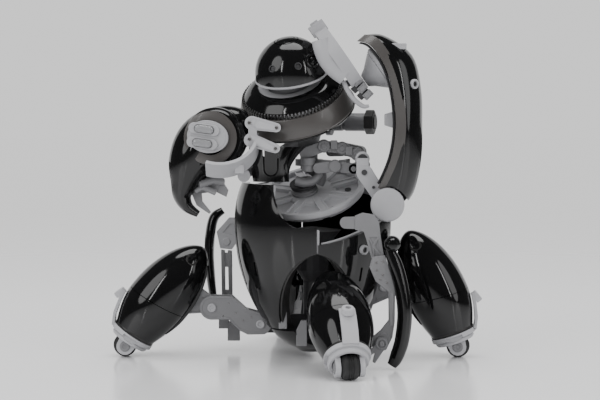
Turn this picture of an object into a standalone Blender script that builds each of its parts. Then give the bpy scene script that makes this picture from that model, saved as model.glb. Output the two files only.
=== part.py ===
"""Egg-shaped walking robot with four wheeled boots, two big arms and two small arms.

Blender 4.5, metres, +Z up. Lengths below are in millimetres and are scaled by MM when a mesh is made.
X is the robot's right-hand side as seen from the front, and the front faces -Y.
"""
import math

import bmesh
import bpy
from mathutils import Matrix, Vector

MM = 0.001
FRAME_SHIFT = Vector((1.6, 0.2, -0.12))   # moves the middle of the model's footprint to the origin

TURN_STEPS = 16
FIT_GAP = 0.35

EGG_X = 7.0
EGG_RADIUS = 43.0
EGG_WIDEST_Z = 75.0
EGG_BOTTOM_Z = 3.3
EGG_LOWER_HEIGHT = 71.7
EGG_UPPER_HEIGHT = 50.0
EGG_WALL = 2.0
CAP_SEAM_Z = 17.0
ARCH_TOP_Z = 60.0
ARCH_MIDDLE_Z = 30.0
FRONT_ARCH_HALF_WIDTH = 19.5
SIDE_ARCH_HALF_WIDTH = 12.5
SEAM_GAP_DEG = 0.5

WHEEL_RADIUS = 6.4
WHEEL_WIDTH = 9.2
WHEEL_DROP = 7.7
THIGH_REACH = 26.8
THIGH_RISE = 9.0
THIGH_WIDTH = 9.6
KNUCKLE_WIDTH = 5.2
KNEE_OUT = -27.7
KNEE_UP = 36.2
BOOT_LENGTH = 61.0
BOOT_WALL = 1.8
RING_RADIUS = 12.3
PORT_HOLE_RADIUS = 1.5

DECK_CENTRE = (7.0, 4.0, 88.5)
DECK_RADIUS = 29.0
DECK_PITCH = 24.0
DECK_ROLL = 10.0

TORSO_CENTRE = (-1.6, -3.0, 135.0)
TORSO_PITCH = 28.5
TORSO_ROLL = 12.6
BRIM_RADIUS = 32.5
TOOTH_RADIUS = 27.3
BRIM_HEIGHT = 12.0
CONE_RADIUS = 18.5
CONE_HEIGHT = 7.4

RIGHT_ARM_Y = -21.0

HEAD_CENTRE = (-4.6, -17.5, 155.6)
HEAD_PITCH = 20.0
HEAD_ROLL = 9.0
HEAD_YAW = -10.0
HEAD_RADIUS = 19.6
HEAD_HEIGHT = 20.2

# azimuth, hip distance from the egg's axis, sideways offset, hip height, lean of the boot from the vertical
LEGS = {
    "left": (180.0, 28.7, 0.0, 18.3, 34.0),
    "right": (-2.0, 18.5, 0.0, 19.5, 19.0),
    "front": (-80.0, 12.5, 3.0, 32.0, 48.0),
    "rear": (99.0, 12.5, 0.0, 32.0, 50.0),
}

FINISHES = {
    "gloss_black": ((0.008, 0.008, 0.009, 1.0), 0.12, 0.0),
    "satin_black": ((0.02, 0.019, 0.018, 1.0), 0.38, 0.0),
    "light_grey": ((0.42, 0.42, 0.44, 1.0), 0.5, 0.0),
    "mid_grey": ((0.22, 0.22, 0.23, 1.0), 0.5, 0.0),
    "dark_grey": ((0.06, 0.06, 0.065, 1.0), 0.5, 0.0),
    "rubber": ((0.02, 0.02, 0.021, 1.0), 0.75, 0.0),
    "clear": ((0.75, 0.76, 0.78, 1.0), 0.08, 0.0),
}

pivots = {}


# ---------------------------------------------------------------- helpers

def clear_scene():
    for old in list(bpy.data.objects):
        bpy.data.objects.remove(old, do_unlink=True)


def turn(axis, degrees):
    return Matrix.Rotation(math.radians(degrees), 4, axis)


def shift(x, y, z):
    return Matrix.Translation((x, y, z))


def pivot(name, matrix, parent=None):
    """An empty on a joint's axis. The matrix is in millimetres in the robot's frame."""
    empty = bpy.data.objects.new(name, None)
    bpy.context.scene.collection.objects.link(empty)
    local = matrix.copy()
    if parent:
        empty.parent = bpy.data.objects[parent]
        local = pivots[parent].inverted() @ matrix
    place = local.to_translation() * MM
    empty.matrix_basis = Matrix.Translation(place) @ local.to_3x3().to_4x4()
    pivots[name] = matrix
    return name


def material(name, finish):
    colour, roughness, metallic = FINISHES[finish]
    made = bpy.data.materials.new(name)
    made.use_nodes = True
    shader = made.node_tree.nodes["Principled BSDF"]
    shader.inputs["Base Color"].default_value = colour
    shader.inputs["Roughness"].default_value = roughness
    shader.inputs["Metallic"].default_value = metallic
    return made


def node(name, shape, finish, parent, local=None):
    """A named sub-part: a bmesh in millimetres, placed in its pivot's frame."""
    place = local or Matrix.Identity(4)
    bmesh.ops.transform(shape, matrix=Matrix.Scale(MM, 4) @ place, verts=shape.verts)
    bmesh.ops.recalc_face_normals(shape, faces=shape.faces)
    mesh = bpy.data.meshes.new(name)
    shape.to_mesh(mesh)
    shape.free()
    mesh.shade_smooth()
    mesh.set_sharp_from_angle(angle=math.radians(35))
    made = bpy.data.objects.new(name, mesh)
    bpy.context.scene.collection.objects.link(made)
    made.parent = bpy.data.objects[parent]
    made.data.materials.append(material(name + "_finish", finish))
    return made


def combine(target, shape, operation, local=None):
    """Joins a hidden helper solid to a sub-part, or cuts it away, with a Boolean modifier."""
    count = len(target.modifiers)
    helper = node(target.name + "_helper_" + str(count), shape, "mid_grey", target.parent.name, local)
    helper.hide_render = True
    helper.display_type = "WIRE"
    step = target.modifiers.new("boolean_" + str(count), "BOOLEAN")
    step.operation = operation
    step.object = helper


def turned(profile, steps=TURN_STEPS):
    """Solid of revolution about Z. A profile off the axis at both ends closes into a ring."""
    shape = bmesh.new()
    rings = []
    for radius, height in profile:
        if radius < 1e-6:
            rings.append([shape.verts.new((0, 0, height))])
            continue
        ring = []
        for step in range(steps):
            angle = 2 * math.pi * step / steps
            ring.append(shape.verts.new((radius * math.cos(angle), radius * math.sin(angle), height)))
        rings.append(ring)
    pairs = list(zip(rings, rings[1:]))
    if len(rings[0]) > 1 and len(rings[-1]) > 1:
        pairs.append((rings[-1], rings[0]))
    for low, high in pairs:
        bridge(shape, low, high, True)
    return shape


def bridge(shape, low, high, closed):
    count = max(len(low), len(high))
    last = count if closed else count - 1
    for step in range(last):
        after = (step + 1) % count
        if len(low) == 1:
            shape.faces.new((low[0], high[after], high[step]))
        elif len(high) == 1:
            shape.faces.new((low[step], low[after], high[0]))
        else:
            shape.faces.new((low[step], low[after], high[after], high[step]))


def disc(radius, length, steps=TURN_STEPS, edge=0.0):
    """A cylinder about Z from 0 to length, with an optional chamfer."""
    half = max(edge, 0.0)
    profile = [(0, 0), (radius - half, 0)]
    if half:
        profile += [(radius, half), (radius, length - half)]
    else:
        profile += [(radius, length)]
    if half:
        profile += [(radius - half, length)]
    return turned(profile + [(0, length)], steps)


def washer(inner, outer, length, steps=TURN_STEPS):
    return turned([(inner, 0), (outer, 0), (outer, length), (inner, length)], steps)


def prism(outline, width):
    """An (x, z) outline given depth along Y, centred on the XZ plane."""
    shape = bmesh.new()
    near = [shape.verts.new((x, -width / 2, z)) for x, z in outline]
    far = [shape.verts.new((x, width / 2, z)) for x, z in outline]
    shape.faces.new(near)
    shape.faces.new(list(reversed(far)))
    bridge(shape, near, far, True)
    return shape


def block(low, high):
    shape = bmesh.new()
    bmesh.ops.create_cube(shape, size=1.0)
    size = [b - a for a, b in zip(low, high)]
    middle = [(a + b) / 2 for a, b in zip(low, high)]
    bmesh.ops.scale(shape, vec=size, verts=shape.verts)
    bmesh.ops.translate(shape, vec=middle, verts=shape.verts)
    return shape


def arc(centre, radius, start, end, steps):
    points = []
    for step in range(steps + 1):
        angle = math.radians(start + (end - start) * step / steps)
        points.append((centre[0] + radius * math.cos(angle), centre[1] + radius * math.sin(angle)))
    return points


def stadium(start, end, start_radius, end_radius, steps=6):
    """Outline of a link with a round end about each of two (x, z) points."""
    angle = math.degrees(math.atan2(end[1] - start[1], end[0] - start[0]))
    return (arc(start, start_radius, angle + 90, angle + 270, steps)
            + arc(end, end_radius, angle - 90, angle + 90, steps))


def skin(sections):
    """Closed solid through a row of closed loops with equal numbers of points."""
    shape = bmesh.new()
    loops = [[shape.verts.new(point) for point in section] for section in sections]
    for low, high in zip(loops, loops[1:]):
        bridge(shape, low, high, True)
    shape.faces.new(list(reversed(loops[0])))
    shape.faces.new(loops[-1])
    return shape


def trough_section(centre, across, out, wall, steps=8):
    """A half-elliptic wall: it spans from -across to +across and bulges along out."""
    centre, across, out = Vector(centre), Vector(across), Vector(out)
    inner_across = across * max(0.2, 1 - wall / across.length)
    inner_out = out * max(0.2, 1 - wall / out.length)
    outer_side = []
    inner_side = []
    for step in range(steps + 1):
        angle = math.pi * step / steps
        outer_side.append(centre + across * math.cos(angle) + out * math.sin(angle))
        inner_side.append(centre + inner_across * math.cos(angle) + inner_out * math.sin(angle))
    return outer_side + list(reversed(inner_side))


def blade_sections(stations, wall, base_y, steps=8):
    """Sections of a bulging shell whose spine lies in an XZ plane and that bulges to -Y.

    Each station is (x, z, half width, bulge).
    """
    sections = []
    for index, (x, z, half_width, bulge) in enumerate(stations):
        before = stations[max(index - 1, 0)]
        after = stations[min(index + 1, len(stations) - 1)]
        along = Vector((after[0] - before[0], 0, after[1] - before[1])).normalized()
        across = Vector((-along.z, 0, along.x)) * half_width
        sections.append(trough_section((x, base_y, z), across, (0, -bulge, 0), wall, steps))
    return sections


# ---------------------------------------------------------------- egg body

def egg_radius(z):
    height = EGG_UPPER_HEIGHT if z > EGG_WIDEST_Z else EGG_LOWER_HEIGHT + 0.01
    return EGG_RADIUS * math.sqrt(max(0.0, 1 - ((z - EGG_WIDEST_Z) / height) ** 2))


def arch_half_angle(z, half_width):
    if z >= ARCH_TOP_Z:
        return 0.0
    reach = ARCH_TOP_Z - ARCH_MIDDLE_Z
    width = half_width * (1 - abs((z - ARCH_MIDDLE_Z) / reach) ** 2.2) ** 0.6
    return math.degrees(math.asin(width / egg_radius(z)))


def egg_point(angle, z, inset):
    radius = egg_radius(z) - inset
    turn_angle = math.radians(angle)
    return Vector((EGG_X + radius * math.cos(turn_angle), radius * math.sin(turn_angle), z))


def petal(start, end, rim, start_arch=SIDE_ARCH_HALF_WIDTH, end_arch=SIDE_ARCH_HALF_WIDTH, columns=7):
    """One panel of the egg between two seams, with half of a leg arch at each lower side."""
    arch_rows = (CAP_SEAM_Z + FIT_GAP, 27.0, 39.0, 49.0, 56.5, 61.0)
    top_rows = (0.5, 1.0)
    grid = {}
    for side, inset in (("outer", 0.0), ("inner", EGG_WALL)):
        rows = []
        for z in arch_rows:
            low = start + arch_half_angle(z, start_arch) + SEAM_GAP_DEG
            high = end - arch_half_angle(z, end_arch) - SEAM_GAP_DEG
            angles = [low + (high - low) * column / columns for column in range(columns + 1)]
            rows.append([egg_point(angle, z, inset) for angle in angles])
        angles = [start + SEAM_GAP_DEG + (end - start - 2 * SEAM_GAP_DEG) * column / columns
                  for column in range(columns + 1)]
        for part in top_rows:
            heights = [arch_rows[-1] + (rim(angle) - arch_rows[-1]) * part for angle in angles]
            rows.append([egg_point(angle, z, inset) for angle, z in zip(angles, heights)])
        grid[side] = rows
    shape = bmesh.new()
    outer = [[shape.verts.new(point) for point in row] for row in grid["outer"]]
    inner = [[shape.verts.new(point) for point in row] for row in grid["inner"]]
    for low, high in zip(outer, outer[1:]):
        bridge(shape, low, high, False)
    for low, high in zip(inner, inner[1:]):
        bridge(shape, high, low, False)
    bridge(shape, inner[0], outer[0], False)
    bridge(shape, outer[-1], inner[-1], False)
    for column in (0, columns):
        side_outer = [row[column] for row in outer]
        side_inner = [row[column] for row in inner]
        bridge(shape, side_outer, side_inner, False)
    return shape


def front_left_rim(angle):
    """High tab on the robot's left, falling in a hollow curve round the front of the deck."""
    fall = min(1.0, max(0.0, (angle + 122.0) / 26.0))
    return 97.0 - 21.5 * math.sin(fall * math.pi / 2)


def front_right_rim(angle):
    return 65.0 + 20.0 * ((angle + 87.0) / 87.0) ** 1.3


def rear_rim(angle):
    return 92.0 + 4.0 * math.sin(math.radians(angle) * 1.0)


def bottom_cap():
    """Dished cap under the egg, notched for the four thighs and flat underneath."""
    columns = 32
    pad_radius = 7.0
    pad_inner_z = EGG_BOTTOM_Z + 2.6
    shape = bmesh.new()
    outer_rows = []
    inner_rows = []
    heights = (0.0, 0.4, 1.0)
    for part in heights:
        outer_row = []
        inner_row = []
        for column in range(columns):
            angle = 360.0 * column / columns
            notch = max(math.cos(math.radians(angle * 4)), 0.0) ** 0.5
            top = CAP_SEAM_Z - FIT_GAP - 8.0 * notch
            z = 5.2 + (top - 5.2) * part
            outer_row.append(shape.verts.new(egg_point(angle, z, 0.0)))
            inner_row.append(shape.verts.new(egg_point(angle, z, EGG_WALL) + Vector((0, 0, 0.9 * (1 - part)))))
        outer_rows.append(outer_row)
        inner_rows.append(inner_row)
    pad = []
    pad_top = []
    for column in range(columns):
        angle = 2 * math.pi * column / columns
        x, y = EGG_X + pad_radius * math.cos(angle), pad_radius * math.sin(angle)
        pad.append(shape.verts.new((x, y, EGG_BOTTOM_Z)))
        pad_top.append(shape.verts.new((x, y, pad_inner_z)))
    shape.faces.new(pad)
    shape.faces.new(list(reversed(pad_top)))
    bridge(shape, pad, outer_rows[0], True)
    bridge(shape, inner_rows[0], pad_top, True)
    for low, high in zip(outer_rows, outer_rows[1:]):
        bridge(shape, low, high, True)
    for low, high in zip(inner_rows, inner_rows[1:]):
        bridge(shape, high, low, True)
    bridge(shape, outer_rows[-1], inner_rows[-1], True)
    return shape


def build_egg():
    pivot("robot_root", Matrix.Identity(4))
    bpy.data.objects["robot_root"].location = FRAME_SHIFT * MM
    front_arch = FRONT_ARCH_HALF_WIDTH
    front_left = petal(-186.0, -87.0, front_left_rim, end_arch=front_arch, columns=8)
    node("egg_front_left", front_left, "gloss_black", "robot_root")
    front_right = petal(-87.0, -1.0, front_right_rim, start_arch=front_arch)
    node("egg_front_right", front_right, "gloss_black", "robot_root")
    rear_right = petal(-1.0, 98.0, rear_rim, end_arch=front_arch)
    node("egg_rear_right", rear_right, "gloss_black", "robot_root")
    rear_left = petal(98.0, 174.0, rear_rim, start_arch=front_arch)
    node("egg_rear_left", rear_left, "gloss_black", "robot_root")
    node("egg_bottom_cap", bottom_cap(), "gloss_black", "robot_root")
    angle = math.degrees(math.atan2(-33.0, 33.8 - EGG_X))
    face = shift(EGG_X, 0, 61.9) @ turn("Z", angle) @ shift(egg_radius(61.9) + FIT_GAP, 0, 0) @ turn("Y", 90)
    node("accessory_port", washer(PORT_HOLE_RADIUS, 2.6, 1.6, 16), "light_grey", "robot_root", face)


def hip_matrix(name):
    azimuth, hip_out, aside, hip_up, lean = LEGS[name]
    return shift(EGG_X, 0, 0) @ turn("Z", azimuth) @ shift(hip_out, aside, hip_up)


def build_chassis():
    """Central column with a lug for each hip and a tilted tray under the deck."""
    profile = [(0, 8), (8, 8), (8, 10.5), (5.2, 14), (5.2, 42), (9, 48), (9, 62), (16, 70), (0, 72)]
    core = node("chassis_core", turned([(r, z) for r, z in profile]), "dark_grey", "robot_root", shift(EGG_X, 0, 0))
    for azimuth, hip_out, aside, hip_up, lean in LEGS.values():
        lug = prism(stadium((0, hip_up), (hip_out, hip_up), 5.0, 5.0), KNUCKLE_WIDTH)
        combine(core, lug, "UNION", shift(EGG_X, 0, 0) @ turn("Z", azimuth) @ shift(0, aside, 0))


def deck_matrix():
    return shift(*DECK_CENTRE) @ turn("Y", -DECK_ROLL) @ turn("X", DECK_PITCH)


def build_deck():
    """Ribbed grey disc on top of the chassis, which carries the turret."""
    rim_height = 4.2
    profile = [(0, -1.5), (DECK_RADIUS - 2, -1.5), (DECK_RADIUS, 0), (DECK_RADIUS, rim_height - 1),
               (DECK_RADIUS - 1, rim_height), (DECK_RADIUS - 3, rim_height), (DECK_RADIUS - 4, 1.4),
               (13.4, 1.4), (12.4, 3.0), (0, 3.0)]
    deck = node("deck_disc", turned(profile, 24), "mid_grey", "robot_root", deck_matrix())
    for index in range(8):
        rib = block((11.8, -1.3, 0.5), (DECK_RADIUS - 3.2, 1.3, 3.4))
        combine(deck, rib, "UNION", deck_matrix() @ turn("Z", 45.0 * index + 12))


# ---------------------------------------------------------------- legs

def leg_angles(name):
    """Turns that bring the thigh and the boot from their drawn pose to the standing one."""
    azimuth, hip_out, aside, hip_up, lean = LEGS[name]
    tilt = math.radians(lean)
    ankle_z = WHEEL_RADIUS + WHEEL_DROP * math.cos(tilt)
    knee_z = ankle_z + KNEE_UP * math.cos(tilt) + KNEE_OUT * math.sin(tilt)
    length = math.hypot(THIGH_REACH, THIGH_RISE)
    drawn = math.degrees(math.atan2(THIGH_RISE, THIGH_REACH))
    raised = math.degrees(math.asin((knee_z - hip_up) / length))
    return raised - drawn, lean


def thigh_outline():
    return (arc((0, 0), 6.0, 250, 100, 6) + [(8.0, 8.4), (15.5, 15.2)]
            + arc((THIGH_REACH, THIGH_RISE), 6.6, 96, -88, 7) + [(17.5, 2.6), (11.5, -3.6), (7.0, -5.8)])


def boot_radius(part):
    """Radius of the egg-shaped boot from its open end (0) to its tip (1)."""
    open_end = 11.6
    fat = 17.0
    waist = 0.36
    if part < waist:
        return open_end + (fat - open_end) * math.sin(part / waist * math.pi / 2)
    return fat * max(0.0, 1 - ((part - waist) / (1 - waist)) ** 2.2) ** 0.6


def boot_centre(part):
    return -5.0 * part ** 1.6


def boot_shell(rows=7, steps=14):
    shape = bmesh.new()
    outer_rings = []
    inner_rings = []
    for row in range(rows):
        part = row / rows
        for rings, wall in ((outer_rings, 0.0), (inner_rings, BOOT_WALL)):
            radius = boot_radius(part * (1 - wall * 0.02)) - wall
            ring = []
            for step in range(steps):
                angle = 2 * math.pi * step / steps
                x = boot_centre(part) + radius * math.cos(angle)
                ring.append(shape.verts.new((x, radius * math.sin(angle), part * (BOOT_LENGTH - wall))))
            rings.append(ring)
    outer_rings.append([shape.verts.new((boot_centre(1), 0, BOOT_LENGTH))])
    inner_rings.append([shape.verts.new((boot_centre(1), 0, BOOT_LENGTH - BOOT_WALL))])
    for low, high in zip(outer_rings, outer_rings[1:]):
        bridge(shape, low, high, True)
    for low, high in zip(inner_rings, inner_rings[1:]):
        bridge(shape, low, high, True)
    bridge(shape, outer_rings[0], inner_rings[0], True)
    return shape


def build_thigh(name, parent):
    thigh = node(name + "_thigh_link", prism(thigh_outline(), THIGH_WIDTH), "mid_grey", parent)
    slot = KNUCKLE_WIDTH / 2 + FIT_GAP
    hip_slot = block((-9.0, -slot, -9.0), (6.5, slot, 9.0))
    knee_slot = block((THIGH_REACH - 12.5, -slot, THIGH_RISE - 9.0), (THIGH_REACH + 9.0, slot, THIGH_RISE + 9.0))
    combine(thigh, hip_slot, "DIFFERENCE")
    combine(thigh, knee_slot, "DIFFERENCE")


def build_shin(name, parent, boot_place):
    knee = (KNEE_OUT, KNEE_UP)
    web = arc(knee, 5.2, 70, 290, 6) + [(-11.0, 20.0), (-4.0, 12.0), (2.0, 12.0), (2.0, 44.0), (-7.0, 42.0)]
    shin = node(name + "_shin_frame", prism(web, KNUCKLE_WIDTH), "mid_grey", parent, boot_place)
    combine(shin, block((-5.0, -5.0, 3.4), (3.5, 5.0, 40.0)), "UNION", boot_place)


def build_boot(name, parent, boot_place):
    boot = node(name + "_boot_shell", boot_shell(), "gloss_black", parent, boot_place)
    slot = KNUCKLE_WIDTH / 2 + 0.6
    combine(boot, block((-24.0, -slot, 14.0), (-4.0, slot, 54.0)), "DIFFERENCE", boot_place)


def build_ankle(name, parent, boot_place):
    """Stepped ring under the boot with two wheel cheeks and a strut that carries a round port."""
    profile = [(8.6, 2.8), (8.6, -FIT_GAP), (RING_RADIUS, -FIT_GAP), (RING_RADIUS, -2.6),
               (10.8, -3.2), (10.8, -4.6), (10.0, -5.4), (8.7, -5.4), (6.7, -0.4), (6.7, 2.8)]
    ankle = node(name + "_ankle_fork", turned(profile), "light_grey", parent, boot_place)
    for side in (-1, 1):
        cheek = prism(stadium((0, -WHEEL_DROP), (0, -3.5), 4.7, 5.4, 4), 2.6)
        combine(ankle, cheek, "UNION", boot_place @ shift(0, side * (WHEEL_WIDTH / 2 + 0.4 + 1.3), 0))
    strut = [(RING_RADIUS - 2.0, -2.2), (RING_RADIUS + 0.6, -2.2), (RING_RADIUS + 3.6, 4.0), (RING_RADIUS + 5.4, 12.0),
             (RING_RADIUS + 5.4, 17.0), (RING_RADIUS + 4.4, 17.0), (RING_RADIUS + 3.4, 10.0),
             (RING_RADIUS + 1.6, 3.0), (RING_RADIUS - 0.2, -FIT_GAP), (RING_RADIUS - 2.0, -FIT_GAP)]
    combine(ankle, prism(strut, 8.4), "UNION", boot_place)
    port_place = boot_place @ shift(RING_RADIUS + 4.9, 0, 14.0) @ turn("Y", 70)
    combine(ankle, disc(3.3, 3.4, 10), "UNION", port_place)
    combine(ankle, disc(PORT_HOLE_RADIUS, 3.0, 8), "DIFFERENCE", port_place @ shift(0, 0, 1.6))


def build_wheel(name, parent):
    half = WHEEL_WIDTH / 2
    profile = [(0, -half), (WHEEL_RADIUS - 1.6, -half), (WHEEL_RADIUS - 0.4, -half + 0.9),
               (WHEEL_RADIUS, -half + 2.2), (WHEEL_RADIUS, half - 2.2), (WHEEL_RADIUS - 0.4, half - 0.9),
               (WHEEL_RADIUS - 1.6, half), (0, half)]
    node(name + "_wheel", turned(profile, 18), "rubber", parent, turn("X", 90))


def build_leg(name):
    thigh_turn, lean = leg_angles(name)
    hip = hip_matrix(name) @ turn("Y", -thigh_turn)
    hip_name = pivot(name + "_hip_pivot", hip, "robot_root")
    knee = hip @ shift(THIGH_REACH, 0, THIGH_RISE) @ turn("Y", thigh_turn - lean)
    knee_name = pivot(name + "_knee_pivot", knee, hip_name)
    boot_place = shift(-KNEE_OUT, 0, -KNEE_UP)
    wheel_name = pivot(name + "_wheel_pivot", knee @ boot_place @ shift(0.5, 0, -WHEEL_DROP), knee_name)
    build_thigh(name, hip_name)
    build_shin(name, knee_name, boot_place)
    build_boot(name, knee_name, boot_place)
    build_ankle(name, knee_name, boot_place)
    build_wheel(name, wheel_name)


# ---------------------------------------------------------------- torso and head

def torso_matrix():
    return shift(*TORSO_CENTRE) @ turn("Y", -TORSO_ROLL) @ turn("X", TORSO_PITCH)


def build_waist():
    turret = deck_matrix() @ shift(-4.0, 0, 3.0 + FIT_GAP)
    pivot("turret_pivot", turret, "robot_root")
    node("turret_ring", turned([(0, 0), (7.4, 0), (7.4, 1.6), (5.6, 2.6), (0, 2.6)]), "mid_grey", "turret_pivot")
    foot = turret @ shift(0, 0, 2.6 + FIT_GAP)
    base = foot.to_translation()
    centres = [base, base + Vector((1.2, -0.4, 2.6)), Vector((9.5, 2.0, 96.5)), Vector((10.5, 2.0, 100.5)),
               Vector((6.0, 1.0, 102.6))]
    radii = [6.6, 6.6, 4.2, 4.0, 4.2]
    rings = []
    for index, (centre, radius) in enumerate(zip(centres, radii)):
        tilt = foot.to_3x3() if index < 2 else Matrix.Rotation(math.radians((0, 0, 35, -20, 0)[index]), 3, "Y")
        rings.append([centre + tilt @ Vector((radius * math.cos(a), radius * math.sin(a), 0))
                      for a in [2 * math.pi * step / 12 for step in range(12)]])
    back = pivots["turret_pivot"].inverted()
    node("waist_arm", skin([[back @ point for point in ring] for ring in rings]), "mid_grey", "turret_pivot")


def build_torso():
    torso = pivot("torso_pivot", shift(5.0, 1.0, 109.0), "turret_pivot")
    inward = pivots[torso].inverted()
    frame = node("torso_frame", disc(4.8, 10.5, 16, 0.8), "mid_grey", torso, shift(0, 0, -6.0))
    neck_rings = []
    spine = ((Vector((5.0, 1.0, 111.0)), 4.4), (Vector((2.0, 4.0, 120.0)), 9.0), (Vector((0.0, 2.0, 128.0)), 14.0))
    for centre, radius in spine:
        neck_rings.append([inward @ (centre + Vector((radius * math.cos(a), radius * math.sin(a), 0)))
                           for a in [2 * math.pi * step / 14 for step in range(14)]])
    combine(frame, skin(neck_rings), "UNION")
    place = inward @ torso_matrix()
    combine(frame, turned([(0, -4), (20, -4), (24, 2), (21, 9), (15, 17), (9, 17), (9, 21), (0, 21)]), "UNION", place)
    arm_rings = []
    for centre, radius in ((Vector((0.0, 1.0, 119.0)), 4.0), (Vector((-30.0, -11.0, 101.0)), 3.0)):
        arm_rings.append([inward @ (centre + Vector((0, radius * math.cos(a), radius * math.sin(a))))
                          for a in [2 * math.pi * step / 10 for step in range(10)]])
    combine(frame, skin(arm_rings), "UNION")
    combine(frame, disc(2.9, 13.0, 12), "UNION", inward @ shift(-30.0, -9.2, 101.0) @ turn("X", 90))
    brim = [(BRIM_RADIUS - 2.4, 0), (BRIM_RADIUS, 0), (TOOTH_RADIUS + 1.4, BRIM_HEIGHT - FIT_GAP),
            (TOOTH_RADIUS - 1.8, BRIM_HEIGHT - FIT_GAP)]
    node("brim_band", turned(brim, 28), "gloss_black", torso, place)
    tooth = [(TOOTH_RADIUS - 2.6, BRIM_HEIGHT), (TOOTH_RADIUS, BRIM_HEIGHT), (TOOTH_RADIUS - 0.5, BRIM_HEIGHT + 1.6),
             (TOOTH_RADIUS - 2.8, BRIM_HEIGHT + 1.6)]
    node("tooth_ring", turned(tooth, 28), "satin_black", torso, place)
    low = BRIM_HEIGHT + 1.6 + FIT_GAP
    top = BRIM_HEIGHT + CONE_HEIGHT
    cone = [(TOOTH_RADIUS - 3.2, low), (TOOTH_RADIUS - 0.8, low), (23.4, low + 3.6), (CONE_RADIUS + 1.0, top),
            (CONE_RADIUS - 0.8, top), (21.4, low + 2.6)]
    node("cone_shell", turned(cone, 28), "gloss_black", torso, place)
    build_chest(torso, inward)
    knob_place = inward @ shift(16.0, 16.0, 129.0) @ turn("Z", -14) @ turn("Y", 90)
    knob = node("rear_knob", disc(5.0, 22.0, 14), "mid_grey", torso, knob_place)
    combine(knob, disc(6.8, 5.2, 6), "UNION", knob_place @ shift(0, 0, 21.0))
    combine(knob, disc(7.5, 3.0, 12), "UNION", knob_place @ shift(0, 0, -1.0))


def build_chest(torso, inward):
    """Front shell that hangs from the brim and narrows down to the waist."""
    rows = ((-12.0, -21.0, 116.5, 15.5, 8.0), (-14.0, -19.5, 112.0, 13.2, 7.4), (-15.6, -18.5, 107.0, 11.3, 6.6),
            (-16.0, -18.0, 102.0, 10.1, 6.2), (-15.5, -18.0, 97.5, 9.8, 6.0))
    sections = []
    for x, y, z, half_width, bulge in rows:
        loop = trough_section((x, y, z), (half_width, 0, 0), (0, -bulge, 0), 2.2)
        sections.append([inward @ point for point in loop])
    node("chest_shell", skin(sections), "gloss_black", torso)


def dome_face(yaw, rise):
    """Place on the dome's skin, at an angle round it and up it: local Z points out."""
    angle = math.radians(rise)
    radius, height = HEAD_RADIUS * math.cos(angle), HEAD_HEIGHT * math.sin(angle)
    facing = math.degrees(math.atan2(math.sin(angle) / HEAD_HEIGHT, math.cos(angle) / HEAD_RADIUS))
    return turn("Z", HEAD_YAW + yaw - 90.0) @ shift(radius, 0, height) @ turn("Y", 90.0 - facing)


def build_head():
    head = shift(*HEAD_CENTRE) @ turn("Y", -HEAD_ROLL) @ turn("X", HEAD_PITCH)
    name = pivot("head_pivot", head, "torso_pivot")
    ring = [(HEAD_RADIUS - 5.0, -2.0), (HEAD_RADIUS - 0.6, -2.0), (HEAD_RADIUS + 0.4, -1.2),
            (HEAD_RADIUS + 0.4, -FIT_GAP), (HEAD_RADIUS - 5.0, -FIT_GAP)]
    node("head_ring", turned(ring, 24), "light_grey", name)
    wall = 1.8
    rows = 5
    hatch_start = 0.78
    outer = []
    inner = []
    for row in range(rows + 1):
        part = hatch_start * row / rows
        angle = part * math.pi / 2
        outer.append((HEAD_RADIUS * math.cos(angle), HEAD_HEIGHT * math.sin(angle)))
        inner.append(((HEAD_RADIUS - wall) * math.cos(angle), (HEAD_HEIGHT - wall) * math.sin(angle)))
    dome = node("head_dome", turned(outer + list(reversed(inner)), 24), "gloss_black", name)
    for side in (-24.0, 24.0):
        combine(dome, disc(1.5, 3.0, 8), "DIFFERENCE", dome_face(side, 28.0) @ shift(0, 0, -1.2))
    hatch = [(0, HEAD_HEIGHT - wall)]
    for row in range(3):
        angle = (hatch_start + 0.012 + (0.97 - hatch_start) * (2 - row) / 2) * math.pi / 2
        hatch.append(((HEAD_RADIUS - wall) * math.cos(angle), (HEAD_HEIGHT - wall) * math.sin(angle)))
    for row in range(3):
        angle = (hatch_start + 0.012 + (0.97 - hatch_start) * row / 2) * math.pi / 2
        hatch.append((HEAD_RADIUS * math.cos(angle), HEAD_HEIGHT * math.sin(angle)))
    hatch.append((0, HEAD_HEIGHT))
    node("head_hatch", turned(hatch, 18), "gloss_black", name)
    lens = [(0, 0.4), (4.0, 0.4), (4.0, 1.8), (2.6, 2.6), (0, 2.4)]
    node("side_lens", turned(lens, 16), "gloss_black", name, dome_face(52.0, 28.0))


# ---------------------------------------------------------------- left arm

def ring_sector(inner, outer, width, start, end, steps):
    """Outline in XZ of part of a flat ring, given a width along Y."""
    outline = arc((0, 0), outer, start, end, steps) + arc((0, 0), inner, end, start, steps)
    return prism(outline, width)


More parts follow.
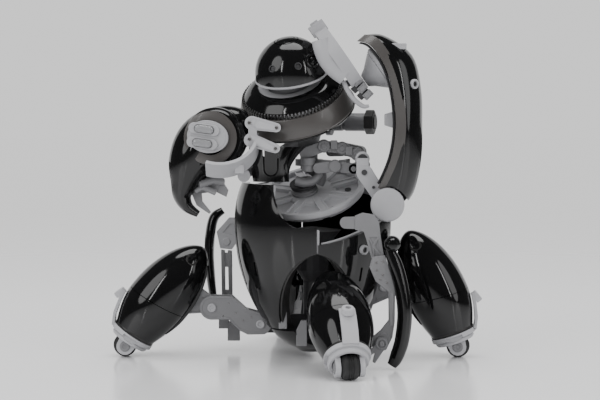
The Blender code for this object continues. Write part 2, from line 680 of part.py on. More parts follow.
def build_left_arm():
    shoulder = pivot("left_shoulder_pivot", shift(-30.0, -21.0, 101.0), "torso_pivot")
    back = pivots[shoulder].inverted()
    ring_place = back @ shift(-42.0, -34.0, 119.0) @ turn("X", -42)
    cuff = node("left_cuff", ring_sector(18.0, 20.0, 11.0, -112, 6, 14), "light_grey", shoulder, ring_place)
    fingers = ((-25.5, 129.5, -12.5, 127.0), (-26.0, 120.5, -13.0, 116.0))
    for near_x, near_z, far_x, far_z in fingers:
        finger = prism(stadium((near_x, near_z), (far_x, far_z), 3.6, 2.4, 4), 6.0)
        combine(cuff, finger, "UNION", back @ shift(0, -37.0, 0))
    bridge_bar = prism(stadium((-25.0, 118.0), (-25.0, 130.0), 2.2, 2.2, 4), 6.0)
    combine(cuff, bridge_bar, "UNION", back @ shift(0, -37.0, 0))
    combine(cuff, block((-4.2, -25.5, 2.2), (0.6, -2.0, 6.8)), "UNION")
    combine(cuff, disc(3.4, 4.6, 12), "UNION", shift(0, -1.6, 0) @ turn("X", 90))
    wrist = pivot("left_wrist_pivot", shift(-41.5, -28.0, 120.0), shoulder)
    back = pivots[wrist].inverted()
    stations = ((-27.0, 126.5, 8.5, 7.0), (-34.0, 125.8, 12.6, 10.5), (-43.0, 123.6, 14.6, 13.5),
                (-52.0, 118.0, 15.0, 14.5), (-58.5, 107.5, 12.4, 13.5), (-61.8, 97.0, 7.8, 10.0),
                (-63.0, 90.0, 5.0, 7.5), (-60.2, 84.2, 3.2, 5.5), (-54.5, 80.3, 1.8, 3.6))
    shell = skin([[back @ point for point in loop] for loop in blade_sections(stations, 2.0, -25.0, 10)])
    node("left_arm_shell", shell, "gloss_black", wrist)
    face = back @ shift(-48.5, -41.6, 122.3) @ turn("Z", -8) @ turn("Y", 8)
    oval = [(11.0 * math.cos(2 * math.pi * s / 20), 8.6 * math.sin(2 * math.pi * s / 20)) for s in range(20)]
    panel = node("left_arm_panel", prism(oval, 2.2), "light_grey", wrist, face)
    for name, height in (("left_lens_upper", 3.7), ("left_lens_lower", -3.7)):
        seat = face @ shift(-2.0, -1.6, height)
        combine(panel, prism(stadium((-5.6, 0), (5.2, 0), 2.9, 2.9, 5), 2.0), "UNION", seat)
        lens = prism(stadium((-3.0, 0), (3.0, 0), 1.9, 1.9, 5), 1.1)
        node(name, lens, "clear", wrist, seat @ shift(0, -1.0 - 0.55 - FIT_GAP, 0))
    claw = pivot("left_claw_pivot", shift(-46.5, -22.0, 97.0), wrist)
    outline = (arc((0, 0), 4.6, 40, 150, 6) + [(-10.5, 1.0), (-12.0, -5.0), (-9.0, -12.0), (-2.2, -16.6),
               (-1.4, -15.8), (-6.0, -10.0), (-6.4, -5.6), (1.0, -4.6), (7.0, -7.5), (8.0, -4.0)])
    node("left_claw", prism(outline, 4.6), "mid_grey", claw)


# ---------------------------------------------------------------- right arm

def build_right_boom():
    boom = pivot("right_boom_pivot", shift(5.0, 1.0, 110.0), "torso_pivot")
    outward = pivots[boom].inverted() @ shift(5.0, 1.0, 0) @ turn("Z", -22)
    upper = prism(stadium((12.0, 113.0), (18.0, 113.4), 2.6, 2.8, 5), 4.6)
    link = node("right_link_upper", upper, "mid_grey", boom, outward @ shift(0, 3.4, 0))
    combine(link, prism(stadium((16.5, 114.5), (27.0, 113.0), 3.6, 3.2, 5), 4.6), "UNION", outward @ shift(0, 7.4, 0))
    lower = prism([(5.8, 109.0), (6.0, 104.6), (17.0, 103.4), (24.0, 105.0), (24.0, 109.5), (17.0, 108.2)], 6.0)
    lower_link = node("right_link_lower", lower, "mid_grey", boom, outward @ shift(0, -2.6, 0))
    combine(lower_link, washer(5.2, 7.6, 3.6, 16), "UNION", outward @ shift(0, 0, 105.3))
    return boom


def build_right_arm():
    boom = build_right_boom()
    elbow = pivot("right_elbow_pivot", shift(33.5, -10.0, 110.0), boom)
    back = pivots[elbow].inverted()
    plate = prism(stadium((34.4, 102.7), (42.4, 90.5), 4.4, 4.0, 6), 3.2)
    arm = node("right_bracket", plate, "light_grey", elbow, back @ shift(0, RIGHT_ARM_Y - 6.4, 0))
    combine(arm, disc(3.8, 16.5, 16, 0.5), "UNION", turn("X", 90) @ shift(0, 0, -1.0))
    combine(arm, block((-3.3, -18.8, -7.0), (3.3, -14.4, 0.5)), "UNION")
    combine(arm, prism(stadium((42.0, 90.5), (48.0, 86.0), 3.4, 3.4, 6), 3.0), "UNION",
            back @ shift(0, RIGHT_ARM_Y - 6.2, 0))
    hub = pivot("right_hub_pivot", shift(49.0, RIGHT_ARM_Y, 86.0), elbow)
    back = pivots[hub].inverted()
    face = turn("Z", -10) @ turn("X", 90)
    node("right_hub_cap", disc(9.0, 3.2, 24, 0.8), "light_grey", hub, face @ shift(0, 0, 13.4))
    stations = ((31.0, 173.4, 3.5, 3.0, 7.0), (38.0, 171.0, 7.0, 5.0, 12.0), (45.5, 160.0, 14.5, 5.5, 15.5),
                (50.0, 145.0, 15.0, 2.5, 17.0), (51.5, 127.0, 14.2, 0.0, 17.5), (49.5, 112.0, 15.6, -2.5, 16.5),
                (44.8, 99.5, 16.6, -7.0, 15.0), (41.0, 93.0, 14.5, -9.0, 13.0))
    loops = []
    for x, z, out_x, out_z, half_width in stations:
        loop = trough_section((x, RIGHT_ARM_Y, z), (0, half_width, 0), (out_x, 0, out_z), 2.6, 10)
        loops.append([back @ point for point in loop])
    shell = node("right_arm_shell", skin(loops), "gloss_black", hub)
    combine(shell, disc(9.6, 40.0, 24), "DIFFERENCE", face @ shift(0, 0, -6.0))
    inward = Vector((-0.82, 0.0, -0.57)).normalized()
    along = Vector((0, 1, 0))
    lean = Matrix((along, inward.cross(along), inward)).transposed().to_4x4()
    horn = back @ shift(44.5, RIGHT_ARM_Y, 158.5) @ lean
    cone = [(0, 0), (12.8, 0), (12.8, 1.2), (5.0, 9.5), (3.4, 12.0), (0, 12.0)]
    node("right_horn", turned(cone), "light_grey", hub, horn)
    wrist = pivot("right_wrist_pivot", pivots[hub] @ horn @ shift(0, 0, 12.0 + FIT_GAP), hub)
    cuff = node("right_cuff", disc(3.6, 5.0, 12), "light_grey", wrist)
    combine(cuff, ring_sector(17.6, 19.6, 7.0, 60, 268, 14), "UNION", shift(0, -17.2, 3.9) @ turn("X", 90))
    combine(cuff, block((-4.4, -1.4, 1.3), (4.4, 7.2, 4.4)), "UNION")
    combine(cuff, block((-6.0, -42.0, -0.2), (6.0, -35.4, 8.6)), "UNION")


# ---------------------------------------------------------------- small arms

def build_small_arms():
    shoulder = pivot("right_small_shoulder_pivot", shift(35.0, -30.0, 77.0), "robot_root")
    back = pivots[shoulder].inverted()
    outline = [(29.0, 73.4), (29.0, 80.6), (33.0, 82.2), (39.0, 81.2), (41.6, 77.5), (42.4, 70.0), (44.0, 61.0),
               (43.4, 55.0), (38.4, 55.6), (35.0, 68.0), (33.6, 72.4)]
    node("right_small_upper", prism(outline, 5.0), "mid_grey", shoulder, back @ shift(0, -42.4, 0))
    elbow = pivot("right_small_elbow_pivot", shift(41.5, -42.4, 56.5), shoulder)
    back = pivots[elbow].inverted()
    forearm = [(38.0, 59.4), (44.6, 60.2), (50.0, 42.6), (49.8, 25.0), (48.6, 17.0), (45.4, 10.4),
               (41.0, 9.0), (37.6, 12.4), (38.0, 17.0), (42.4, 20.6), (46.6, 26.0), (46.4, 41.0), (39.6, 46.6), (36.4, 54.0)]
    node("right_small_forearm", prism(forearm, 3.4), "mid_grey", elbow, back @ shift(0, -47.0, 0))
    stations = ((46.6, 64.0, 2.4, 2.5), (49.8, 56.0, 3.8, 4.0), (53.2, 44.0, 3.9, 5.0), (54.9, 30.0, 3.9, 5.5),
                (53.6, 16.0, 3.9, 5.0), (50.6, 6.5, 3.6, 4.4), (48.2, 2.2, 2.6, 3.0))
    armour = [[back @ point for point in loop] for loop in blade_sections(stations, 1.6, -49.0, 6)]
    node("right_small_armour", skin(armour), "gloss_black", elbow)
    wrist = pivot("right_small_wrist_pivot", shift(42.7, -50.5, 14.1), elbow)
    claw = (arc((0, 0), 3.4, -60, 190, 8) + [(-8.2, -6.4), (-7.4, -7.6), (-3.4, -4.6), (-4.6, -9.6), (-3.4, -10.4),
            (0.4, -4.6)])
    node("right_small_claw", prism(claw, 3.0), "mid_grey", wrist)

    shoulder = pivot("left_small_shoulder_pivot", shift(-32.0, 26.0, 70.0), "robot_root")
    back = pivots[shoulder].inverted()
    upper = [(-47.0, 67.0), (-40.0, 75.0), (-30.0, 75.0), (-28.5, 66.0), (-35.0, 61.0), (-38.4, 57.0), (-45.0, 57.6)]
    node("left_small_upper", prism(upper, 4.4), "light_grey", shoulder, back @ shift(0, 26.0, 0))
    elbow = pivot("left_small_elbow_pivot", shift(-41.5, 26.0, 54.0), shoulder)
    back = pivots[elbow].inverted()
    bar = node("left_small_forearm", prism([(-44.6, 56.8), (-38.4, 56.2), (-38.0, 18.0), (-44.0, 18.0)], 4.0),
               "mid_grey", elbow, back @ shift(0, 26.0, 0))
    combine(bar, block((-46.0, 24.2, 12.0), (-40.2, 27.8, 21.0)), "UNION", back)
    stations = ((-43.4, 79.0, 2.0, 3.0), (-48.4, 75.0, 2.8, 5.0), (-50.6, 66.0, 2.8, 6.0), (-51.4, 54.0, 2.8, 6.0),
                (-50.6, 42.0, 2.6, 5.5), (-49.2, 30.0, 2.2, 4.0))
    armour = [[back @ point for point in loop] for loop in blade_sections(stations, 1.6, 27.0, 6)]
    node("left_small_armour", skin(armour), "gloss_black", elbow)
    combine(bar, block((-41.0, 24.6, 5.0), (-34.0, 27.4, 16.0)), "UNION", back)


clear_scene()
build_egg()
build_chassis()
build_deck()
for leg_name in LEGS:
    build_leg(leg_name)
build_waist()
build_torso()
build_head()
build_left_arm()
build_right_arm()
build_small_arms()
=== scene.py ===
import math

import bmesh
import bpy
from mathutils import Matrix, Vector


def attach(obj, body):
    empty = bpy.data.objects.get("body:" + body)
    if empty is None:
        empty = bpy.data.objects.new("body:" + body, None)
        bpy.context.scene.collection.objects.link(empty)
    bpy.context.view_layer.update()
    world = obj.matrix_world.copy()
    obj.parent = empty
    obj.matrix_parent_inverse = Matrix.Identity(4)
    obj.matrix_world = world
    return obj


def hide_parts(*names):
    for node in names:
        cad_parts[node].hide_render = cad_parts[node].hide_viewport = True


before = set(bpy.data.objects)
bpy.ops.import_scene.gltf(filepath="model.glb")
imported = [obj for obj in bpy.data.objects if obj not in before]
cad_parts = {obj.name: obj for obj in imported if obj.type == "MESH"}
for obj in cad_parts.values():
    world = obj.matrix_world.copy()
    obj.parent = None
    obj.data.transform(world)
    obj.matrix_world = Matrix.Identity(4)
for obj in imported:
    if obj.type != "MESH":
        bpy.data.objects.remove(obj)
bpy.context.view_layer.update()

MM = 0.001
FRAME_SHIFT = Vector((1.6, 0.2, -0.12))
SHARP_ANGLE = math.radians(32)

# ---------------------------------------------------------------- materials
# name: colour, darker colour in the mottling, lowest and highest roughness,
#       grain size in mm, grain depth in mm, coat
FINISHES = {
    "gloss_black": ((0.005, 0.005, 0.0055), (0.003, 0.003, 0.003), 0.05, 0.12, 2.2, 0.004, 0.0),
    "satin_brown": ((0.07, 0.065, 0.062), (0.05, 0.046, 0.044), 0.26, 0.38, 0.5, 0.01, 0.1),
    "satin_black": ((0.02, 0.019, 0.018), (0.012, 0.012, 0.012), 0.3, 0.45, 0.5, 0.015, 0.0),
    "light_grey": ((0.36, 0.36, 0.375), (0.3, 0.3, 0.312), 0.38, 0.55, 0.45, 0.02, 0.0),
    "mid_grey": ((0.2, 0.2, 0.207), (0.15, 0.15, 0.157), 0.38, 0.56, 0.45, 0.02, 0.0),
    "dark_grey": ((0.045, 0.045, 0.048), (0.03, 0.03, 0.032), 0.4, 0.6, 0.45, 0.02, 0.0),
    "rubber": ((0.016, 0.016, 0.017), (0.01, 0.01, 0.01), 0.5, 0.7, 0.3, 0.03, 0.0),
    "pin_metal": ((0.3, 0.29, 0.28), (0.2, 0.19, 0.19), 0.25, 0.4, 0.2, 0.006, 0.0),
}


def wire(tree, kind, **values):
    made = tree.nodes.new(kind)
    for name, value in values.items():
        made.inputs[name.replace("_", " ")].default_value = value
    return made


def feed(source, output, target, socket):
    source.id_data.links.new(source.outputs[output], target.inputs[socket])


def make_finish(name):
    """Moulded plastic: mottled colour, uneven gloss, fine grain, and convex edges painted a little lighter
    as a painted highlight.
    """
    colour, dark, low, high, grain, depth, coat = FINISHES[name]
    made = bpy.data.materials.new(name)
    made.use_nodes = True
    tree = made.node_tree
    shader = tree.nodes["Principled BSDF"]
    shader.inputs["Coat Weight"].default_value = coat
    shader.inputs["Coat Roughness"].default_value = 0.04
    shader.inputs["Metallic"].default_value = 0.9 if name == "pin_metal" else 0.0
    place = tree.nodes.new("ShaderNodeTexCoord")
    patches = wire(tree, "ShaderNodeTexNoise", Scale=70.0, Detail=4.0, Roughness=0.6)
    feed(place, "Object", patches, "Vector")
    mix = tree.nodes.new("ShaderNodeMix")
    mix.data_type = "RGBA"
    mix.inputs["A"].default_value = (*dark, 1.0)
    mix.inputs["B"].default_value = (*colour, 1.0)
    feed(patches, "Fac", mix, "Factor")
    # Painted highlight: sharp convex edges, picked out by pointiness, are painted up to a quarter of the way
    # towards a lighter copy of the colour.
    edges = tree.nodes.new("ShaderNodeNewGeometry")
    edge_highlight_mask = wire(tree, "ShaderNodeMapRange", From_Min=0.54, From_Max=0.72, To_Min=0.0, To_Max=0.25)
    feed(edges, "Pointiness", edge_highlight_mask, "Value")
    edge_highlight_mix = tree.nodes.new("ShaderNodeMix")
    edge_highlight_mix.data_type = "RGBA"
    edge_highlight_mix.inputs["B"].default_value = (*[min(0.6, part * 1.5 + 0.02) for part in colour], 1.0)
    feed(edge_highlight_mask, "Result", edge_highlight_mix, "Factor")
    feed(mix, "Result", edge_highlight_mix, "A")
    feed(edge_highlight_mix, "Result", shader, "Base Color")
    smears = wire(tree, "ShaderNodeTexNoise", Scale=38.0, Detail=6.0, Roughness=0.7, Distortion=1.2)
    feed(place, "Object", smears, "Vector")
    gloss = wire(tree, "ShaderNodeMapRange", From_Min=0.3, From_Max=0.7, To_Min=low, To_Max=high)
    feed(smears, "Fac", gloss, "Value")
    feed(gloss, "Result", shader, "Roughness")
    grains = wire(tree, "ShaderNodeTexNoise", Scale=1000.0 / grain, Detail=3.0)
    feed(place, "Object", grains, "Vector")
    bump = wire(tree, "ShaderNodeBump", Strength=0.5, Distance=depth * MM)
    feed(grains, "Fac", bump, "Height")
    feed(bump, "Normal", shader, "Normal")
    return made


def make_clear():
    made = bpy.data.materials.new("clear")
    made.use_nodes = True
    tree = made.node_tree
    shader = tree.nodes["Principled BSDF"]
    shader.inputs["Base Color"].default_value = (0.86, 0.87, 0.9, 1.0)
    shader.inputs["Transmission Weight"].default_value = 0.75
    shader.inputs["IOR"].default_value = 1.49
    place = tree.nodes.new("ShaderNodeTexCoord")
    flow = wire(tree, "ShaderNodeTexNoise", Scale=220.0, Detail=3.0)
    feed(place, "Object", flow, "Vector")
    gloss = wire(tree, "ShaderNodeMapRange", To_Min=0.04, To_Max=0.16)
    feed(flow, "Fac", gloss, "Value")
    feed(gloss, "Result", shader, "Roughness")
    bump = wire(tree, "ShaderNodeBump", Strength=0.3, Distance=0.0001)
    feed(flow, "Fac", bump, "Height")
    feed(bump, "Normal", shader, "Normal")
    return made


MATERIALS = {name: make_finish(name) for name in FINISHES}
MATERIALS["clear"] = make_clear()


# ---------------------------------------------------------------- shapes, in millimetres

def turn(axis, degrees):
    return Matrix.Rotation(math.radians(degrees), 4, axis)


def shift(x, y, z):
    return Matrix.Translation((x, y, z))


def round_angles(steps):
    return [2 * math.pi * step / steps for step in range(steps)]


def bridge(shape, low, high, closed):
    """Faces between two rows of points. A row of one point makes a fan."""
    count = max(len(low), len(high))
    last = count if closed else count - 1
    for step in range(last):
        after = (step + 1) % count
        if len(low) == 1:
            shape.faces.new((low[0], high[after], high[step]))
        elif len(high) == 1:
            shape.faces.new((low[step], low[after], high[0]))
        else:
            shape.faces.new((low[step], low[after], high[after], high[step]))


def turned(profile, steps=64):
    """Solid of revolution about Z. A profile off the axis at both ends closes into a ring."""
    shape = bmesh.new()
    rings = []
    for radius, height in profile:
        if radius < 1e-6:
            rings.append([shape.verts.new((0, 0, height))])
            continue
        ring = []
        for angle in round_angles(steps):
            ring.append(shape.verts.new((radius * math.cos(angle), radius * math.sin(angle), height)))
        rings.append(ring)
    pairs = list(zip(rings, rings[1:]))
    if len(rings[0]) > 1 and len(rings[-1]) > 1:
        pairs.append((rings[-1], rings[0]))
    for low, high in pairs:
        bridge(shape, low, high, True)
    return shape


def disc(radius, length, edge=0.25, steps=40):
    """A cylinder about Z from 0 to length, with small chamfers."""
    return turned([(0, 0), (radius - edge, 0), (radius, edge), (radius, length - edge),
                   (radius - edge, length), (0, length)], steps)


def washer(inner, outer, length, steps=48):
    return turned([(inner, 0), (outer, 0), (outer, length), (inner, length)], steps)


def prism(outline, width):
    """An (x, z) outline given depth along Y, centred on the XZ plane."""
    shape = bmesh.new()
    near = [shape.verts.new((x, -width / 2, z)) for x, z in outline]
    far = [shape.verts.new((x, width / 2, z)) for x, z in outline]
    shape.faces.new(near)
    shape.faces.new(list(reversed(far)))
    bridge(shape, near, far, True)
    return shape


def block(low, high):
    shape = bmesh.new()
    bmesh.ops.create_cube(shape, size=1.0)
    size = [b - a for a, b in zip(low, high)]
    middle = [(a + b) / 2 for a, b in zip(low, high)]
    bmesh.ops.scale(shape, vec=size, verts=shape.verts)
    bmesh.ops.translate(shape, vec=middle, verts=shape.verts)
    return shape


def arc(centre, radius, start, end, steps=16):
    points = []
    for step in range(steps + 1):
        angle = math.radians(start + (end - start) * step / steps)
        points.append((centre[0] + radius * math.cos(angle), centre[1] + radius * math.sin(angle)))
    return points


def stadium(start, end, start_radius, end_radius, steps=14):
    """Outline of a link with a round end about each of two (x, z) points."""
    angle = math.degrees(math.atan2(end[1] - start[1], end[0] - start[0]))
    return (arc(start, start_radius, angle + 90, angle + 270, steps)
            + arc(end, end_radius, angle - 90, angle + 90, steps))


def link(start, end, start_radius, end_radius, width):
    """Flat link with round ends, centred on the XZ plane."""
    return prism(stadium(start, end, start_radius, end_radius), width)


def pin(x, y, z, radius, length, edge=0.25, steps=40):
    """A pin that runs from a point towards -Y, as a row for piece()."""
    return disc(radius, length, edge, steps), shift(x, y, z) @ turn("X", 90)


def ring_sector(inner, outer, width, start, end, steps=48):
    outline = arc((0, 0), outer, start, end, steps) + arc((0, 0), inner, end, start, steps)
    return prism(outline, width)


def skin(sections):
    """Closed solid through a row of closed loops with equal numbers of points."""
    shape = bmesh.new()
    loops = [[shape.verts.new(point) for point in section] for section in sections]
    for low, high in zip(loops, loops[1:]):
        bridge(shape, low, high, True)
    shape.faces.new(list(reversed(loops[0])))
    shape.faces.new(loops[-1])
    return shape


def refine(stations, times=6):
    """Smooth curve through rows of numbers."""
    rows = []
    for index in range(len(stations) - 1):
        ends = [stations[min(max(index + step, 0), len(stations) - 1)] for step in (-1, 0, 1, 2)]
        for step in range(times):
            part = step / times
            row = []
            for a, b, c, d in zip(*ends):
                row.append(0.5 * (2 * b + (c - a) * part + (2 * a - 5 * b + 4 * c - d) * part ** 2
                                  + (3 * b - a - 3 * c + d) * part ** 3))
            rows.append(tuple(row))
    rows.append(tuple(stations[-1]))
    return rows


def trough_section(centre, across, out, wall, steps=28):
    """A half-elliptic wall: it spans from -across to +across and bulges along out."""
    centre, across, out = Vector(centre), Vector(across), Vector(out)
    inner_across = across * max(0.2, 1 - wall / across.length)
    inner_out = out * max(0.2, 1 - wall / out.length)
    outer_side = []
    inner_side = []
    for step in range(steps + 1):
        angle = math.pi * step / steps
        outer_side.append(centre + across * math.cos(angle) + out * math.sin(angle))
        inner_side.append(centre + inner_across * math.cos(angle) + inner_out * math.sin(angle))
    return outer_side + list(reversed(inner_side))


def blade_sections(stations, wall, base_y, steps=28):
    """Sections of a bulging shell whose spine lies in an XZ plane.

    Stations are (x, z, half width, bulge).
    """
    sections = []
    for index, (x, z, half_width, bulge) in enumerate(stations):
        before = stations[max(index - 1, 0)]
        after = stations[min(index + 1, len(stations) - 1)]
        along = Vector((after[0] - before[0], 0, after[1] - before[1])).normalized()
        across = Vector((-along.z, 0, along.x)) * half_width
        sections.append(trough_section((x, base_y, z), across, (0, -bulge, 0), wall, steps))
    return sections


def tube(points, radius, steps=14):
    """A round bar along a row of points."""
    rings = []
    for index, point in enumerate(points):
        before = Vector(points[max(index - 1, 0)])
        after = Vector(points[min(index + 1, len(points) - 1)])
        facing = (after - before).to_track_quat("Z", "Y").to_matrix()
        ring = []
        for angle in round_angles(steps):
            ring.append(Vector(point) + facing @ Vector((radius * math.cos(angle),
                                                         radius * math.sin(angle), 0)))
        rings.append(ring)
    return skin(rings)


def piece(name, finish, body, place, shapes, stands_for=(), bevel=0.3, cut=()):
    """One named piece from several shapes, placed in the robot's frame, with rounded edges.

    shapes and cut are rows of (shape, its place within the piece).
    """
    made = solid(name, shapes, place)
    bpy.context.scene.collection.objects.link(made)
    if cut:
        carve(made, solid(name + "_cutter", cut, place))
    made.data.materials.clear()
    made.data.materials.append(MATERIALS[finish])
    made.data.shade_smooth()
    made.data.set_sharp_from_angle(angle=SHARP_ANGLE)
    if bevel:
        rounding = made.modifiers.new("rounding", "BEVEL")
        rounding.width = bevel * MM
        rounding.segments = 3
        rounding.limit_method = "ANGLE"
        rounding.angle_limit = SHARP_ANGLE
        rounding.harden_normals = True
    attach(made, body)
    if stands_for:
        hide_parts(*stands_for)
    return made


def solid(name, shapes, place):
    whole = bmesh.new()
    for shape, local in shapes:
        bmesh.ops.recalc_face_normals(shape, faces=shape.faces)
        bmesh.ops.transform(shape, matrix=Matrix.Scale(MM, 4) @ Matrix.Translation(FRAME_SHIFT) @ place
                            @ local, verts=shape.verts)
        part = bpy.data.meshes.new("part")
        shape.to_mesh(part)
        shape.free()
        whole.from_mesh(part)
        bpy.data.meshes.remove(part)
    mesh = bpy.data.meshes.new(name)
    whole.to_mesh(mesh)
    whole.free()
    return bpy.data.objects.new(name, mesh)


def carve(made, cutter):
    """Cuts a helper solid out of a piece for good."""
    bpy.context.scene.collection.objects.link(cutter)
    step = made.modifiers.new("cut", "BOOLEAN")
    step.operation = "DIFFERENCE"
    step.object = cutter
    step.use_self = True
    graph = bpy.context.evaluated_depsgraph_get()
    graph.update()
    old = made.data
    made.data = bpy.data.meshes.new_from_object(made.evaluated_get(graph))
    made.data.name = made.name
    made.modifiers.clear()
    bpy.data.meshes.remove(old)
    bpy.data.objects.remove(cutter)


HERE = Matrix.Identity(4)

# ---------------------------------------------------------------- egg body

EGG_X = 7.0
EGG_RADIUS = 43.0
EGG_WIDEST_Z = 75.0
EGG_BOTTOM_Z = 3.3
EGG_LOWER_HEIGHT = 71.7
EGG_UPPER_HEIGHT = 50.0
EGG_WALL = 2.0
CAP_SEAM_Z = 17.0
ARCH_TOP_Z = 60.0
ARCH_MIDDLE_Z = 30.0
FRONT_ARCH = 19.5
SIDE_ARCH = 12.5
SEAM_DEG = 0.5
ARCHES = {
    "front": (-87.0, FRONT_ARCH),
    "right": (-1.0, SIDE_ARCH),
    "left": (174.0, SIDE_ARCH),
    "rear": (98.0, FRONT_ARCH),
}
DECK_RADIUS = 29.0
DECK_PITCH = 24.0
DECK_ROLL = -10.0


def egg_radius(z):
    height = EGG_UPPER_HEIGHT if z > EGG_WIDEST_Z else EGG_LOWER_HEIGHT + 0.01
    return EGG_RADIUS * math.sqrt(max(0.0, 1 - ((z - EGG_WIDEST_Z) / height) ** 2))


def arch_half_angle(z, half_width):
    if z >= ARCH_TOP_Z:
        return 0.0
    reach = ARCH_TOP_Z - ARCH_MIDDLE_Z
    width = half_width * (1 - abs((z - ARCH_MIDDLE_Z) / reach) ** 2.2) ** 0.6
    return math.degrees(math.asin(width / egg_radius(z)))


def egg_point(angle, z, inset):
    radius = egg_radius(z) - inset
    spin = math.radians(angle)
    return Vector((EGG_X + radius * math.cos(spin), radius * math.sin(spin), z))


def egg_face(angle, z, out=0.0):
    """Place on the egg's skin: local -Y points out of the shell and local Z up it."""
    slope = math.degrees(math.atan2(egg_radius(z + 0.5) - egg_radius(z - 0.5), 1.0))
    return (shift(EGG_X, 0, 0) @ turn("Z", angle + 90) @ shift(0, -egg_radius(z) - out, z)
            @ turn("X", slope))


def arch_heights():
    low = [CAP_SEAM_Z + 0.35 + (ARCH_MIDDLE_Z - CAP_SEAM_Z - 0.35) * step / 6 for step in range(6)]
    high = [ARCH_MIDDLE_Z + (ARCH_TOP_Z - ARCH_MIDDLE_Z) * math.sin(math.pi / 2 * step / 18)
            for step in range(18)]
    return low + high + [ARCH_TOP_Z, ARCH_TOP_Z + 0.6]


def petal(start, end, rim, start_arch=SIDE_ARCH, end_arch=SIDE_ARCH, columns=40):
    """One panel of the egg between two seams, with half of a leg arch at each lower side."""
    heights = arch_heights()
    shape = bmesh.new()
    sides = {}
    for side, inset in (("outer", 0.0), ("inner", EGG_WALL)):
        rows = []
        for z in heights:
            low = start + arch_half_angle(z, start_arch) + SEAM_DEG
            high = end - arch_half_angle(z, end_arch) - SEAM_DEG
            rows.append([(low + (high - low) * column / columns, z) for column in range(columns + 1)])
        angles = [start + SEAM_DEG + (end - start - 2 * SEAM_DEG) * column / columns
                  for column in range(columns + 1)]
        for step in range(1, 11):
            rows.append([(angle, heights[-1] + (rim(angle) - heights[-1]) * step / 10)
                         for angle in angles])
        sides[side] = [[shape.verts.new(egg_point(angle, z, inset)) for angle, z in row] for row in rows]
    outer, inner = sides["outer"], sides["inner"]
    for low, high in zip(outer, outer[1:]):
        bridge(shape, low, high, False)
    for low, high in zip(inner, inner[1:]):
        bridge(shape, high, low, False)
    bridge(shape, inner[0], outer[0], False)
    bridge(shape, outer[-1], inner[-1], False)
    for column in (0, columns):
        bridge(shape, [row[column] for row in outer], [row[column] for row in inner], False)
    return shape


def front_left_rim(angle):
    """High tab on the robot's left, falling in a hollow curve round the front of the deck."""
    fall = min(1.0, max(0.0, (angle + 125.0) / 24.0))
    return 96.5 - 22.5 * math.sin(fall * math.pi / 2) ** 0.8


def front_right_rim(angle):
    return 65.0 + 20.0 * max(0.0, (angle + 87.0) / 87.0) ** 1.3


def rear_rim(angle):
    return 92.0 + 4.0 * math.sin(math.radians(angle))


def rim_lining(start, end, rim, low, high):
    """Grey band just inside a panel's upper edge."""
    sections = []
    for step in range(41):
        angle = start + (end - start) * step / 40
        top = rim(angle)
        sections.append([egg_point(angle, top - low, 2.2), egg_point(angle, top - low, 4.4),
                         egg_point(angle, top + high, 4.4), egg_point(angle, top + high, 2.2)])
    return skin(sections)


def arch_lining(seam, half_width, side, inset, width):
    """Frame that lines one side of a leg arch, inside the shell."""
    sections = []
    for z in arch_heights()[:-1]:
        edge = seam + side * (arch_half_angle(z, half_width) + SEAM_DEG)
        turn_in = -side * math.degrees(width / egg_radius(z))
        sections.append([egg_point(edge, z, inset), egg_point(edge + turn_in, z, inset),
                         egg_point(edge + turn_in, z, inset + 6.0), egg_point(edge, z, inset + 6.0)])
    return skin(sections)


def bottom_cap():
    """Dished cap under the egg, notched for the four thighs and flat underneath."""
    columns = 120
    shape = bmesh.new()
    outer_rows = []
    inner_rows = []
    for part in [step / 8 for step in range(9)]:
        outer_row = []
        inner_row = []
        for column in range(columns):
            angle = 360.0 * column / columns
            notch = max(math.cos(math.radians(angle * 4)), 0.0) ** 0.5
            top = CAP_SEAM_Z - 0.35 - 8.0 * notch
            z = 5.2 + (top - 5.2) * part
            outer_row.append(shape.verts.new(egg_point(angle, z, 0.0)))
            inner_row.append(shape.verts.new(egg_point(angle, z, EGG_WALL)
                                             + Vector((0, 0, 0.9 * (1 - part)))))
        outer_rows.append(outer_row)
        inner_rows.append(inner_row)
    pad = []
    pad_top = []
    for column in range(columns):
        angle = 2 * math.pi * column / columns
        x, y = EGG_X + 7.0 * math.cos(angle), 7.0 * math.sin(angle)
        pad.append(shape.verts.new((x, y, EGG_BOTTOM_Z)))
        pad_top.append(shape.verts.new((x, y, EGG_BOTTOM_Z + 2.6)))
    shape.faces.new(pad)
    shape.faces.new(list(reversed(pad_top)))
    bridge(shape, pad, outer_rows[0], True)
    bridge(shape, inner_rows[0], pad_top, True)
    for rows in (outer_rows, inner_rows):
        for low, high in zip(rows, rows[1:]):
            bridge(shape, low, high, True)
    bridge(shape, outer_rows[-1], inner_rows[-1], True)
    return shape


def slot_cut(angle, z):
    return link((0, -3.2), (0, 3.2), 0.75, 0.75, 5.0), egg_face(angle, z)


